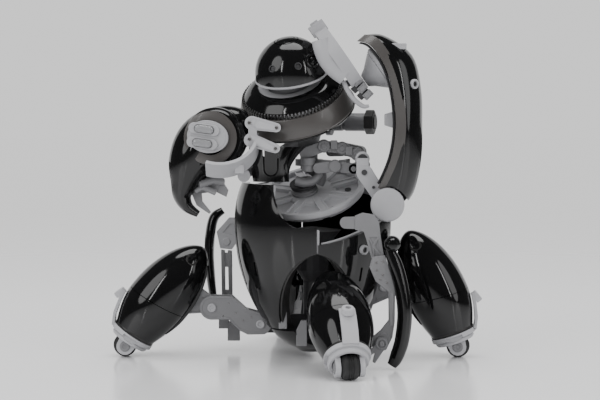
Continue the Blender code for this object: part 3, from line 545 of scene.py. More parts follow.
def build_egg():
    panels = (("egg_front_left", petal(-186.0, -87.0, front_left_rim, end_arch=FRONT_ARCH, columns=60),
               (-140.0, 51.0)), ("egg_front_right", petal(-87.0, -1.0, front_right_rim,
                                                          start_arch=FRONT_ARCH), (-50.3, 48.4)),
              ("egg_rear_right", petal(-1.0, 98.0, rear_rim, end_arch=FRONT_ARCH), (48.0, 50.0)),
              ("egg_rear_left", petal(98.0, 174.0, rear_rim, start_arch=FRONT_ARCH), (134.0, 50.0)))
    for name, shape, slot_at in panels:
        piece(name + "_shell", "gloss_black", "egg_body", HERE, [(shape, HERE)], [name], 0.25,
              [slot_cut(*slot_at)])
        backing = [(link((0, -3.6), (0, 3.6), 1.3, 1.3, 0.6), egg_face(slot_at[0], slot_at[1], -1.6))]
        piece(name + "_slot_back", "dark_grey", "egg_body", HERE, backing, bevel=0.1)
    piece("egg_cap_shell", "gloss_black", "egg_body", HERE, [(bottom_cap(), HERE)], ["egg_bottom_cap"],
          0.3)
    linings = [(rim_lining(-186.0, -124.0, front_left_rim, 6.0, -0.4), HERE),
               (rim_lining(-84.0, -1.5, front_right_rim, 5.0, 0.7), HERE),
               (rim_lining(-1.0, 174.0, rear_rim, 6.0, -0.6), HERE)]
    piece("rim_linings", "light_grey", "egg_body", HERE, linings, bevel=0.2)
    strip = []
    for step in range(21):
        z = 60.5 + 12.4 * step / 20
        strip.append([egg_point(-91.6, z, 0.6), egg_point(-91.6, z, 3.6), egg_point(-85.6, z, 3.6),
                      egg_point(-85.6, z, 0.6)])
    piece("seam_strip", "light_grey", "egg_body", HERE, [(skin(strip), HERE)], bevel=0.3)
    for name, (seam, half_width) in ARCHES.items():
        frames = [(arch_lining(seam, half_width, side, 1.2, 1.1), HERE) for side in (-1, 1)]
        frames += [(arch_lining(seam, half_width, side, 3.4, 0.8), HERE) for side in (-1, 1)]
        piece(name + "_arch_frame", "satin_black", "egg_body", HERE, frames, bevel=0.2)
    build_port("accessory_port_ring", "egg_body", egg_face(-50.9, 61.9, 0.3), ["accessory_port"])
    ribs = [(block((-18.5, -22.0, 18.0), (-14.0, -18.0, 40.0)), shift(EGG_X, 0, 0)),
            (prism([(-9, 8.5), (-3.2, 8.5), (-3.2, 22.5), (-6.4, 22.5), (-9, 17)], 3.0),
             shift(EGG_X, -20.0, 0))]
    piece("inner_ribs", "mid_grey", "egg_body", HERE, ribs, bevel=0.4)
    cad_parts["chassis_core"].data.materials[0] = MATERIALS["dark_grey"]


def build_port(name, body, place, stands_for=()):
    """Round accessory socket: a stepped grey collar with a dark bore. Local -Y points out."""
    facing = turn("X", 90)
    collar = turned([(1.5, -0.6), (2.6, -0.6), (2.6, 1.3), (2.35, 1.6), (1.75, 1.6), (1.5, 1.35)])
    piece(name, "light_grey", body, place, [(collar, facing)], stands_for, 0.1)
    piece(name + "_bore", "satin_black", body, place, [(disc(1.52, 0.5, 0.1), facing)], bevel=0)


def deck_matrix():
    return shift(EGG_X, 4.0, 88.5) @ turn("Y", DECK_ROLL) @ turn("X", DECK_PITCH)


def turret_matrix():
    return deck_matrix() @ shift(-4.0, 0, 3.35)


def build_deck():
    """Ribbed grey disc on top of the egg, with a two-step rim, and the turret ring on it."""
    radius = DECK_RADIUS
    profile = [(0, -1.5), (radius - 3, -1.5), (radius - 2, -0.9), (radius - 1.6, 0.2),
               (radius - 0.4, 0.6), (radius, 1.2), (radius, 3.4), (radius - 0.4, 4.1),
               (radius - 2.6, 4.1), (radius - 3.0, 3.8), (radius - 3.6, 1.4), (13.6, 1.4), (13.2, 2.6),
               (12.4, 3.0), (0, 3.0)]
    shapes = [(turned(profile, 128), HERE)]
    cuts = [(link((19.0, 0), (23.0, 0), 1.3, 1.3, 6.0), turn("Z", -20) @ turn("X", 90))]
    for index in range(8):
        spin = turn("Z", 45.0 * index + 12)
        shapes.append((block((12.6, -2.4, 0.5), (radius - 3.2, 2.4, 2.9)), spin))
        for side in (-2.1, 2.1):
            shapes.append((block((11.6, side - 0.35, 0.5), (radius - 3.0, side + 0.35, 3.6)), spin))
        edge = ring_sector(radius - 5.2, radius - 3.4, 1.0, -18, 18)
        shapes.append((edge, turn("Z", 45.0 * index + 34.5) @ turn("X", 90) @ shift(0, -1.6, 0)))
    piece("deck_plate", "light_grey", "egg_body", deck_matrix(), shapes, ["deck_disc"], 0.3, cuts)
    screws = ((-125.0, 20.0, 2.6), (-66.0, 24.0, 1.6), (-10.0, 20.0, 1.8))
    for index, (spin, out, size) in enumerate(screws):
        place = deck_matrix() @ turn("Z", spin) @ shift(out, 0, 1.5)
        build_screw("deck_screw_" + str(index), "egg_body", place, size)
    turret = turret_matrix()
    ring = [(0, 0), (7.4, 0), (7.4, 1.3), (7.0, 1.6), (6.4, 1.7), (6.1, 2.3), (5.4, 2.6), (0, 2.6)]
    piece("turret_collar", "mid_grey", "turret", turret, [(turned(ring, 96), HERE)], ["turret_ring"],
          0.15)


def build_screw(name, body, place, size):
    """Countersunk screw with a straight slot. Local Z points out."""
    head = turned([(0, 0), (size, 0), (size, 0.5), (size * 0.86, 0.8), (0, 0.95)], 32)
    slot = [(block((-size, -size * 0.16, 0.45), (size, size * 0.16, 2.0)), HERE)]
    piece(name, "dark_grey", body, place, [(head, HERE)], (), 0.08, slot)


# ---------------------------------------------------------------- legs

WHEEL_RADIUS = 6.4
WHEEL_DROP = 7.7
THIGH_REACH = 26.8
THIGH_RISE = 9.0
KNEE_OUT = -27.7
KNEE_UP = 36.2
BOOT_LENGTH = 61.0
BOOT_WALL = 1.8
BOOT_LEAN = 5.0
RING_RADIUS = 12.3
LEGS = {
    "left": (180.0, 28.7, 0.0, 18.3, 34.0),
    "right": (-2.0, 18.5, 0.0, 19.5, 19.0),
    "front": (-80.0, 12.5, 3.0, 32.0, 48.0),
    "rear": (99.0, 12.5, 0.0, 32.0, 50.0),
}


def leg_places(name):
    """Places of the hip and boot of a leg in its standing pose."""
    azimuth, hip_out, aside, hip_up, lean = LEGS[name]
    tilt = math.radians(lean)
    ankle_z = WHEEL_RADIUS + WHEEL_DROP * math.cos(tilt)
    knee_z = ankle_z + KNEE_UP * math.cos(tilt) + KNEE_OUT * math.sin(tilt)
    length = math.hypot(THIGH_REACH, THIGH_RISE)
    raised = math.degrees(math.asin((knee_z - hip_up) / length))
    thigh_turn = raised - math.degrees(math.atan2(THIGH_RISE, THIGH_REACH))
    hip = (shift(EGG_X, 0, 0) @ turn("Z", azimuth) @ shift(hip_out, aside,
                                                           hip_up)) @ turn("Y", -thigh_turn)
    knee = hip @ shift(THIGH_REACH, 0, THIGH_RISE) @ turn("Y", thigh_turn - lean)
    return hip, knee @ shift(-KNEE_OUT, 0, -KNEE_UP)


def boot_radius(part):
    """Radius of the egg-shaped boot from its open end (0) to its tip (1)."""
    waist = 0.36
    if part < waist:
        return 11.6 + 5.4 * math.sin(part / waist * math.pi / 2)
    return 17.0 * max(0.0, 1 - ((part - waist) / (1 - waist)) ** 2.2) ** 0.6


def boot_spine(part):
    """How far the boot's middle line leans inward at a height."""
    return -BOOT_LEAN * part ** 1.6


def boot_shell():
    rows = 40
    steps = 96
    shape = bmesh.new()
    outer_rings = []
    inner_rings = []
    for row in range(rows):
        part = 1 - (1 - row / rows) ** 1.35
        for rings, wall in ((outer_rings, 0.0), (inner_rings, BOOT_WALL)):
            radius = max(0.3, boot_radius(part) - wall)
            ring = []
            for angle in round_angles(steps):
                x = boot_spine(part) + radius * math.cos(angle)
                ring.append(shape.verts.new((x, radius * math.sin(angle), part * (BOOT_LENGTH - wall))))
            rings.append(ring)
    outer_rings.append([shape.verts.new((-BOOT_LEAN, 0, BOOT_LENGTH))])
    inner_rings.append([shape.verts.new((-BOOT_LEAN, 0, BOOT_LENGTH - BOOT_WALL))])
    for rings in (outer_rings, inner_rings):
        for low, high in zip(rings, rings[1:]):
            bridge(shape, low, high, True)
    bridge(shape, outer_rings[0], inner_rings[0], True)
    return shape


def thigh_outline(inset=0.0):
    big, small = 6.6 - inset, 6.0 - inset
    return (arc((0, 0), small, 250, 100) + [(8.0 + inset * 0.3, 8.4 - inset),
                                            (15.5 + inset * 0.3, 15.2 - inset)]
            + arc((THIGH_REACH, THIGH_RISE), big, 96, -88) + [(17.5, 2.6 + inset), (11.5, -3.6 + inset),
                                                              (7.0, -5.8 + inset)])


def build_thigh(name, hip):
    """Forked link with a raised border round each side, round pin covers and small rivets."""
    shapes = [(prism(thigh_outline(), 9.6), HERE)]
    cuts = [(block((-9.0, -2.95, -9.0), (6.5, 2.95, 9.0)), HERE),
            (block((THIGH_REACH - 12.5, -2.95, THIGH_RISE - 9.0),
                   (THIGH_REACH + 9.0, 2.95, THIGH_RISE + 9.0)), HERE)]
    for side in (-1, 1):
        cuts.append((prism(thigh_outline(1.3), 0.5), shift(0, side * 4.8, 0)))
    piece(name + "_thigh", "mid_grey", name + "_thigh", hip, shapes, [name + "_thigh_link"], 0.2, cuts)
    pins = []
    for side in (-1, 1):
        facing = turn("X", 90 * -side)
        cover = [(0, 0), (2.4, 0), (2.4, 0.6), (2.1, 0.85), (1.4, 0.85), (1.1, 0.55), (0, 0.55)]
        for x, z in ((THIGH_REACH, THIGH_RISE), (0, 0)):
            pins.append((turned(cover, 40), shift(x, side * 4.5, z) @ facing))
    piece(name + "_thigh_pins", "light_grey", name + "_thigh", hip, pins, bevel=0.08)
    dots = []
    for x, z in ((5.0, 4.0), (9.5, 2.0), (13.5, 6.0), (17.5, 11.4), (20.6, 4.6)):
        for side in (-1, 1):
            dots.append((turned([(0, 0), (0.42, 0), (0.3, 0.35), (0, 0.42)], 16),
                         shift(x, side * 4.5, z) @ turn("X", 90 * -side)))
    piece(name + "_thigh_rivets", "pin_metal", name + "_thigh", hip, dots, bevel=0)
    shaft = [pin(x, 4.0, z, 1.6, 8.0, 0.1) for x, z in ((0, 0), (THIGH_REACH, THIGH_RISE))]
    piece(name + "_thigh_shafts", "pin_metal", name + "_thigh", hip, shaft, bevel=0)


def build_shin(name, boot_place):
    knee = (KNEE_OUT, KNEE_UP)
    web = arc(knee, 5.2, 70, 290) + [(-11.0, 20.0), (-4.0, 12.0), (2.0, 12.0), (2.0, 44.0), (-7.0, 42.0)]
    shapes = [(prism(web, 5.2), HERE), (block((-5.0, -5.0, 3.4), (3.5, 5.0, 40.0)), HERE)]
    slim = [(KNEE_OUT + 1.0, KNEE_UP - 3.4), (-13.0, 23.0), (-6.0, 18.0), (-6.0, 36.0),
            (KNEE_OUT + 4.0, KNEE_UP + 2.4)]
    cuts = [(prism(slim, 0.8), shift(0, side * 2.6, 0)) for side in (-1, 1)]
    piece(name + "_shin", "mid_grey", name + "_shin", boot_place, shapes, [name + "_shin_frame"], 0.25,
          cuts)


def build_boot(name, boot_place):
    """Egg-shaped shell with a knee slot, a side seam, bosses near its tip and two fins on its inner side."""
    cuts = [(block((-24.0, -3.2, 14.0), (-4.0, 3.2, 54.0)), HERE)]
    seam = washer(14.0, 24.0, 0.35, 96)
    cuts.append((seam, shift(0, 0, 22.0) @ turn("Y", 4)))
    piece(name + "_boot", "gloss_black", name + "_shin", boot_place, [(boot_shell(), HERE)],
          [name + "_boot_shell"], 0.2, cuts)
    lip = [(10.2, -0.05), (11.8, -0.05), (12.1, 0.4), (12.1, 1.2), (11.6, 1.6), (10.2, 1.6)]
    piece(name + "_boot_lip", "satin_black", name + "_shin", boot_place, [(turned(lip, 96), HERE)],
          bevel=0.1)
    fins = []
    for side in (-1, 1):
        rail = []
        for step in range(25):
            part = 0.16 + 0.72 * step / 24
            z = part * BOOT_LENGTH
            radius = boot_radius(part)
            base = boot_spine(part)
            y = side * 4.1
            x = base - math.sqrt(max(radius ** 2 - y ** 2, 0.04))
            grow = 0.4 + 1.0 * math.sin(math.pi * step / 24)
            rail.append([Vector((x + 1.4, y - 0.8, z)), Vector((x + 1.4, y + 0.8, z)),
                         Vector((x - grow, y + 0.5, z)), Vector((x - grow, y - 0.5, z))])
        fins.append((skin(rail), HERE))
    piece(name + "_boot_fins", "gloss_black", name + "_shin", boot_place, fins, bevel=0.15)
    part = 0.86
    for side in (-1, 1):
        place = boot_place @ shift(boot_spine(part), side * (boot_radius(part) * 0.93),
                                   BOOT_LENGTH * part)
        facing = turn("X", -90 * side) @ turn("X", 34 * side)
        boss = turned([(0, -1.5), (3.4, -1.5), (3.4, 0.1), (3.1, 0.4), (2.2, 0.4), (1.9, 0.2), (0, 0.2)],
                      48)
        piece(name + ("_boss_near" if side < 0 else "_boss_far"), "satin_black", name + "_shin", place,
              [(boss, facing)], bevel=0.08)


def build_ankle(name, boot_place):
    """Stepped ring with wheel cheeks, a slotted skirt and a strut that carries a round socket."""
    profile = [(8.6, 2.8), (8.6, -0.35), (RING_RADIUS, -0.35), (RING_RADIUS, -2.6),
               (RING_RADIUS - 0.3, -2.9), (11.1, -3.1), (10.8, -3.4), (10.8, -4.5), (10.5, -4.9),
               (10.0, -5.4), (8.7, -5.4), (6.7, -0.4), (6.7, 2.8)]
    shapes = [(turned(profile, 96), HERE)]
    for side in (-1, 1):
        cheek = link((0, -WHEEL_DROP), (0, -3.5), 4.7, 5.4, 2.6)
        shapes.append((cheek, shift(0, side * 6.3, 0)))
    strut = [(RING_RADIUS - 2.0, -2.2), (RING_RADIUS + 0.6, -2.2), (RING_RADIUS + 3.6, 4.0),
             (RING_RADIUS + 5.4, 12.0), (RING_RADIUS + 5.4, 17.0), (RING_RADIUS + 4.4, 17.0),
             (RING_RADIUS + 3.4, 10.0), (RING_RADIUS + 1.6, 3.0), (RING_RADIUS - 0.2, -0.35),
             (RING_RADIUS - 2.0, -0.35)]
    shapes.append((prism(strut, 8.4), HERE))
    port = boot_place @ shift(RING_RADIUS + 4.9, 0, 14.0) @ turn("Y", 70)
    shapes.append((turned([(0, 0), (3.3, 0), (3.3, 2.9), (2.9, 3.4), (0, 3.4)], 48),
                   boot_place.inverted() @ port))
    cuts = [(disc(1.5, 3.0, 0.1), boot_place.inverted() @ port @ shift(0, 0, 1.2)),
            (turned([(10.4, -3.45), (13.2, -3.45), (13.2, -2.95), (10.9, -2.95)], 96), HERE)]
    for side in (-1, 1):
        cuts.append((block((-4.4, 10.2, -4.2), (4.4, 14.0, -1.3)), turn("Z", 90 + 90 * side)))
    piece(name + "_ankle", "light_grey", name + "_shin", boot_place, shapes, [name + "_ankle_fork"], 0.2,
          cuts)
    hubs = []
    for side in (-1, 1):
        cap = turned([(0, 0), (2.9, 0), (2.9, 0.4), (2.5, 0.75), (1.5, 0.75), (1.2, 0.45), (0, 0.45)],
                     40)
        hubs.append((cap, shift(0, side * 7.4, -WHEEL_DROP) @ turn("X", 90 * -side)))
    piece(name + "_ankle_hubs", "mid_grey", name + "_shin", boot_place, hubs, bevel=0.08)
    core = [(disc(8.4, 3.2, 0.3), shift(0, 0, -0.4))]
    piece(name + "_ankle_core", "dark_grey", name + "_shin", boot_place, core, bevel=0)


def build_wheel(name, boot_place):
    """Rubber roller with fine tread grooves round it."""
    half = 4.6
    profile = [(0, -half), (WHEEL_RADIUS - 2.6, -half), (WHEEL_RADIUS - 1.9, -half + 0.15),
               (WHEEL_RADIUS - 0.8, -half + 0.7), (WHEEL_RADIUS - 0.15, -half + 1.6),
               (WHEEL_RADIUS, -half + 2.4)]
    for groove in (-1.1, 0.0, 1.1):
        profile += [(WHEEL_RADIUS, groove - 0.22), (WHEEL_RADIUS - 0.35, groove - 0.14),
                    (WHEEL_RADIUS - 0.35, groove + 0.14), (WHEEL_RADIUS, groove + 0.22)]
    profile += [(radius, -height) for radius, height in reversed(profile[:6])]
    place = boot_place @ shift(0.5, 0, -WHEEL_DROP) @ turn("X", 90)
    piece(name + "_tyre", "rubber", name + "_roller", place, [(turned(profile, 96), HERE)],
          [name + "_wheel"], 0)


def build_legs():
    for name in LEGS:
        hip, boot_place = leg_places(name)
        build_thigh(name, hip)
        build_shin(name, boot_place)
        build_boot(name, boot_place)
        build_ankle(name, boot_place)
        build_wheel(name, boot_place)

# ---------------------------------------------------------------- torso and head

BRIM_RADIUS = 32.5
TOOTH_RADIUS = 27.3
BRIM_HEIGHT = 12.0
CONE_RADIUS = 18.5
CONE_HEIGHT = 7.4
RIGHT_ARM_Y = -21.0
HEAD_RADIUS = 19.6
HEAD_HEIGHT = 20.2
HEAD_YAW = -10.0
HEAD_PITCH = 20.0
HEAD_ROLL = -9.0
DOME_WALL = 1.8
HATCH_START = 0.78
TORSO_PITCH = 28.5
TORSO_ROLL = -12.6
TEETH = 84


def torso_matrix():
    return shift(-1.6, -3.0, 135.0) @ turn("Y", TORSO_ROLL) @ turn("X", TORSO_PITCH)


def head_matrix():
    return shift(-4.6, -17.5, 155.6) @ turn("Y", HEAD_ROLL) @ turn("X", HEAD_PITCH)


def round_section(centre, radius, tilt=None, steps=40):
    frame_turn = tilt or Matrix.Identity(3)
    return [centre + frame_turn @ Vector((radius * math.cos(a), radius * math.sin(a), 0))
            for a in round_angles(steps)]


def build_waist():
    turret = turret_matrix()
    foot = turret @ shift(0, 0, 2.95)
    base = foot.to_translation()
    rows = [(*base, 6.6, 0.0), (*(base + Vector((1.2, -0.4, 2.6))), 6.6, 0.0),
            (9.5, 2.0, 96.5, 4.2, 35.0), (10.5, 2.0, 100.5, 4.0, -20.0), (6.0, 1.0, 102.6, 4.2, 0.0)]
    rings = []
    for index, (x, y, z, radius, tilt) in enumerate(refine(rows, 5)):
        lean = foot.to_3x3() if index < 6 else Matrix.Rotation(math.radians(tilt), 3, "Y")
        rings.append(round_section(Vector((x, y, z)), radius, lean))
    piece("waist_cup", "mid_grey", "turret", HERE, [(skin(rings), HERE)], ["waist_arm"], 0.25)
    cup = []
    scoop = [(-2.6, 97.6, 5.6, 10.0), (2.0, 96.4, 5.2, 0.0), (7.0, 97.2, 4.6, -25.0),
             (10.4, 100.6, 4.0, -55.0), (11.4, 104.0, 3.2, -75.0)]
    for x, z, radius, lean in refine(scoop, 5):
        spin = Matrix.Rotation(math.radians(lean), 3, "Y")
        cup.append([Vector((x, -8.0, z)) + spin @ Vector((0, radius * math.cos(a),
                                                          radius * 0.5 * math.sin(a)))
                    for a in round_angles(32)])
    piece("waist_scoop", "mid_grey", "turret", HERE, [(skin(cup), HERE)], bevel=0.4)
    collar = [(washer(4.1, 7.5, 0.8), foot @ shift(0, 0, 2.0)),
              (washer(6.5, 7.0, 1.2), foot @ shift(0, 0, 0.4))]
    piece("waist_collar", "dark_grey", "turret", HERE, collar, bevel=0.15)


def build_torso():
    neck = [(0, -6.0), (4.0, -6.0), (4.8, -5.2), (4.8, -2.6), (4.4, -2.3), (4.4, -1.4), (4.8, -1.1),
            (4.8, 3.7), (4.0, 4.5), (0, 4.5)]
    spine = refine([(5.0, 1.0, 111.0, 4.4), (2.0, 4.0, 120.0, 9.0), (0.0, 2.0, 128.0, 14.0)], 6)
    flare = skin([round_section(Vector(row[:3]), row[3]) for row in spine])
    dish = [(0, -4), (20, -4), (24, 2), (21, 9), (15, 17), (9, 17), (9, 21), (0, 21)]
    bar = skin([[Vector((x, y + r * math.cos(a), z + r * math.sin(a))) for a in round_angles(24)] for x,
                y, z, r in ((0, 1, 119, 4), (-30, -11, 101, 3))])
    shapes = [(turned(neck), shift(5, 1, 109)), (flare, HERE), (turned(dish, 96), torso_matrix()),
              (bar, HERE), pin(-30.0, -9.2, 101.0, 2.9, 13.0)]
    piece("torso_core", "mid_grey", "torso", HERE, shapes, ["torso_frame"], 0.3)
    place = torso_matrix()
    brim = [(BRIM_RADIUS - 2.4, 0), (BRIM_RADIUS - 0.5, 0), (BRIM_RADIUS, 0.5), (BRIM_RADIUS - 0.1, 1.5),
            (BRIM_RADIUS - 0.7, 1.7), (BRIM_RADIUS - 0.75, 2.2), (TOOTH_RADIUS + 1.6, BRIM_HEIGHT - 0.9),
            (TOOTH_RADIUS + 1.1, BRIM_HEIGHT - 0.35), (TOOTH_RADIUS - 1.8, BRIM_HEIGHT - 0.35)]
    piece("brim", "satin_brown", "torso", place, [(turned(brim, 160), HERE)], ["brim_band"], 0.1)
    lip = [(BRIM_RADIUS - 2.2, -0.5), (BRIM_RADIUS - 0.9, -0.5), (BRIM_RADIUS - 0.2, 0.1),
           (BRIM_RADIUS + 0.1, 0.9), (BRIM_RADIUS - 0.2, 1.5), (BRIM_RADIUS - 2.2, 1.2)]
    piece("brim_lip", "gloss_black", "torso", place, [(turned(lip, 160), HERE)], bevel=0)
    build_teeth(place)
    low = BRIM_HEIGHT + 1.95
    top = BRIM_HEIGHT + CONE_HEIGHT
    cone = [(TOOTH_RADIUS - 3.2, low), (TOOTH_RADIUS - 1.2, low), (TOOTH_RADIUS - 0.9, low + 0.5),
            (25.3, low + 1.6), (23.4, low + 3.6), (21.4, low + 4.7), (CONE_RADIUS + 1.2, top - 0.15),
            (CONE_RADIUS + 0.6, top), (CONE_RADIUS - 0.5, top), (CONE_RADIUS - 0.8, top - 0.3),
            (21.4, low + 2.6)]
    piece("cone", "gloss_black", "torso", place, [(turned(cone, 160), HERE)], ["cone_shell"], 0.08)
    inner = [(13.0, top - 2.5), (17.6, top - 2.2), (17.6, top - 0.6), (13.0, top - 0.6)]
    piece("neck_band", "light_grey", "torso", place, [(turned(inner, 96), HERE)], bevel=0.15)
    build_chest()
    build_knob()


def build_teeth(place):
    """Knurled ring: a plain band with a row of fine teeth round it."""
    radius = TOOTH_RADIUS
    band = [(radius - 2.6, BRIM_HEIGHT), (radius - 0.9, BRIM_HEIGHT), (radius - 1.0, BRIM_HEIGHT + 1.6),
            (radius - 2.8, BRIM_HEIGHT + 1.6)]
    piece("tooth_band", "light_grey", "torso", place, [(turned(band, 128), HERE)], ["tooth_ring"], 0)
    teeth = []
    for index in range(TEETH):
        tooth = block((radius - 1.4, -0.55, BRIM_HEIGHT - 0.3), (radius + 0.7, 0.55, BRIM_HEIGHT + 1.9))
        teeth.append((tooth, turn("Z", 360.0 * index / TEETH)))
    piece("teeth", "satin_black", "torso", place, teeth, bevel=0.12)


def build_chest():
    """Front shell that hangs from the brim and narrows down to the waist, with a U-shaped pocket line."""
    rows = refine([(-12.0, -21.0, 116.5, 15.5, 8.0), (-14.0, -19.5, 112.0, 13.2, 7.4),
                   (-15.6, -18.5, 107.0, 11.3, 6.6), (-16.0, -18.0, 102.0, 10.1, 6.2),
                   (-15.5, -18.0, 97.5, 9.8, 6.0)])
    loops = [trough_section((x, y, z), (half_width, 0, 0), (0, -bulge, 0), 2.2, 48)
             for x, y, z, half_width, bulge in rows]
    outline = stadium((-15.6, 104.5), (-15.6, 117.0), 4.1, 4.4)
    inner = stadium((-15.6, 104.5), (-15.6, 117.0), 3.3, 3.6)
    ring = prism(outline, 12.0)
    keep = prism(inner, 14.0)
    groove = solid("groove", [(ring, HERE)], HERE)
    bpy.context.scene.collection.objects.link(groove)
    carve(groove, solid("groove_core", [(keep, HERE)], HERE))
    shape = bmesh.new()
    shape.from_mesh(groove.data)
    back = Matrix.Translation(-FRAME_SHIFT) @ Matrix.Scale(1 / MM, 4)
    bmesh.ops.transform(shape, matrix=back, verts=shape.verts)
    bpy.data.objects.remove(groove)
    piece("chest", "gloss_black", "torso", HERE, [(skin(loops), HERE)], ["chest_shell"], 0.2,
          [(shape, shift(0, -29.8, 0))])


def build_knob():
    place = shift(16.0, 16.0, 129.0) @ turn("Z", -14) @ turn("Y", 90)
    shaft = [(0, -1), (7.5, -1), (7.5, 2), (5.0, 2), (5.0, 8), (4.6, 8.4), (4.6, 9.4), (5.0, 9.8),
             (5.0, 22), (0, 22)]
    piece("knob_tube", "mid_grey", "torso", place, [(turned(shaft), HERE)], ["rear_knob"], 0.2)
    cap = [(disc(6.8, 5.2, 0.5, 6), shift(0, 0, 21.0)), (disc(4.2, 0.9, 0.2), shift(0, 0, 25.9))]
    piece("knob_end", "satin_black", "torso", place, cap, bevel=0.35)


def dome_face(yaw, rise):
    """Place on the dome's skin, at an angle round it and up it: local Z points out."""
    angle = math.radians(rise)
    radius, height = HEAD_RADIUS * math.cos(angle), HEAD_HEIGHT * math.sin(angle)
    facing = math.degrees(math.atan2(math.sin(angle) / HEAD_HEIGHT, math.cos(angle) / HEAD_RADIUS))
    return turn("Z", HEAD_YAW + yaw - 90.0) @ shift(radius, 0, height) @ turn("Y", 90.0 - facing)


def build_head():
    place = head_matrix()
    radius = HEAD_RADIUS
    ring = [(radius - 5.0, -2.0), (radius - 1.0, -2.0), (radius - 0.3, -1.8), (radius + 0.3, -1.3),
            (radius + 0.45, -0.9), (radius + 0.4, -0.4), (radius + 0.1, -0.3), (radius - 5.0, -0.3)]
    piece("head_collar", "light_grey", "head", place, [(turned(ring, 128), HERE)], ["head_ring"], 0.1)
    outer = [(radius, 0.0)]
    inner = [(radius - DOME_WALL, 0.0)]
    for row in range(1, 33):
        angle = HATCH_START * row / 32 * math.pi / 2
        outer.append((radius * math.cos(angle), HEAD_HEIGHT * math.sin(angle)))
        inner.append(((radius - DOME_WALL) * math.cos(angle),
                      (HEAD_HEIGHT - DOME_WALL) * math.sin(angle)))
    eyes = [dome_face(side, 28.0) for side in (-24.0, 24.0)]
    cuts = [(turned([(0, -1.4), (1.55, -1.4), (1.55, 2), (0, 2)], 40), eye) for eye in eyes]
    piece("dome", "gloss_black", "head", place, [(turned(outer + list(reversed(inner)), 160), HERE)],
          ["head_dome"], 0.12, cuts)
    heads = [(turned([(0, -1.3), (1.3, -1.3), (1.3, -0.7), (1.0, -0.45), (0, -0.45)], 32), eye)
             for eye in eyes]
    slots = [(block((-0.25, -1.4, -0.8), (0.25, 1.4, 1.0)), eye) for eye in eyes]
    rims = [(turned([(1.45, -0.6), (1.95, -0.6), (1.9, 0.22), (1.7, 0.3), (1.5, 0.15)], 48), eye)
            for eye in eyes]
    piece("eye_rims", "dark_grey", "head", place, rims, bevel=0)
    piece("eye_screws", "dark_grey", "head", place, heads, (), 0.06, slots)
    build_hatch(place)
    lens = place @ dome_face(52.0, 28.0)
    boss = [(0, -0.6), (4.0, -0.6), (4.1, 1.2), (3.8, 1.8), (3.1, 2.1), (2.7, 1.8), (2.5, 1.2),
            (2.1, 1.6), (1.2, 2.1), (0, 2.3)]
    piece("side_eye", "gloss_black", "head", lens, [(turned(boss, 72), HERE)], ["side_lens"], 0)


def build_hatch(place):
    """Round cap in the top of the dome, with a seam all round and a shallow step."""
    rows = 14
    hatch = [(0, HEAD_HEIGHT - DOME_WALL)]
    for row in range(rows):
        angle = (HATCH_START + 0.014 + (0.97 - HATCH_START) * (rows - 1 - row) / (rows - 1)) * math.pi / 2
        hatch.append(((HEAD_RADIUS - DOME_WALL) * math.cos(angle),
                      (HEAD_HEIGHT - DOME_WALL) * math.sin(angle)))
    for row in range(rows):
        angle = (HATCH_START + 0.014 + (0.97 - HATCH_START) * row / (rows - 1)) * math.pi / 2
        hatch.append((HEAD_RADIUS * math.cos(angle), HEAD_HEIGHT * math.sin(angle)))
    hatch.append((0, HEAD_HEIGHT))
    groove = [(washer(4.4, 4.7, 2.0, 64), shift(0, 0, HEAD_HEIGHT - 1.0))]
    piece("hatch", "gloss_black", "head", place, [(turned(hatch, 128), HERE)], ["head_hatch"], 0.1,
          groove)


# ---------------------------------------------------------------- left arm

LEFT_ARM_Y = -25.0
ARM_WALL = 2.0
ARM_STEPS = 48
LENS_HEIGHTS = {"upper": 3.7, "lower": -3.7}


def build_left_cuff():
    place = shift(-42.0, -34.0, 119.0) @ turn("X", -42)
    shapes = [(ring_sector(18.0, 20.0, 11.0, -112, 6, 64), place)]
    shapes.append((block((-4.2, -25.5, 2.2), (0.6, -2.0, 6.8)), shift(-30.0, -21.0, 101.0)))
    shapes.append((disc(3.4, 4.6), shift(-30.0, -21.0, 101.0) @ shift(0, -1.6, 0) @ turn("X", 90)))
    piece("left_cuff_band", "light_grey", "left_shoulder", HERE, shapes, ["left_cuff"], 0.4)
    fingers = []
    for near_x, near_z, far_x, far_z in ((-25.5, 129.5, -12.5, 127.0), (-26.0, 120.5, -13.0, 116.0)):
        outline = stadium((near_x, near_z), (far_x, far_z), 3.6, 2.4)
        fingers.append((prism(outline, 6.0), shift(0, -37.0, 0)))
        raised = stadium((near_x + 4.0, near_z - 1.0), (far_x - 1.5, far_z), 2.0, 1.3)
        fingers.append((prism(raised, 7.4), shift(0, -37.0, 0)))
    fingers.append((link((-25.0, 118.0), (-25.0, 130.0), 2.2, 2.2, 6.0), shift(0, -37.0, 0)))
    cuts = [pin(-27.0, -33.0, 113.6, 1.0, 12.0, 0.05)]
    piece("left_fingers", "light_grey", "left_shoulder", HERE, fingers, (), 0.35, cuts)
    pins = [pin(x, -40.2, z, 0.9, 0.8, 0.15) for x, z in
            ((-26.6, 129.6), (-26.6, 121.0), (-12.4, 127.0), (-13.0, 116.0))]
    piece("left_finger_pins", "pin_metal", "left_shoulder", HERE, pins, bevel=0)


def left_arm_stations():
    return [(-27.0, 126.5, 8.5, 7.0), (-34.0, 125.8, 12.6, 10.5), (-43.0, 123.6, 14.6, 13.5),
            (-52.0, 118.0, 15.0, 14.5), (-58.5, 107.5, 12.4, 13.5), (-61.8, 97.0, 7.8, 10.0),
            (-63.0, 90.0, 5.0, 7.5), (-60.2, 84.2, 3.2, 5.5), (-54.5, 80.3, 1.8, 3.6)]


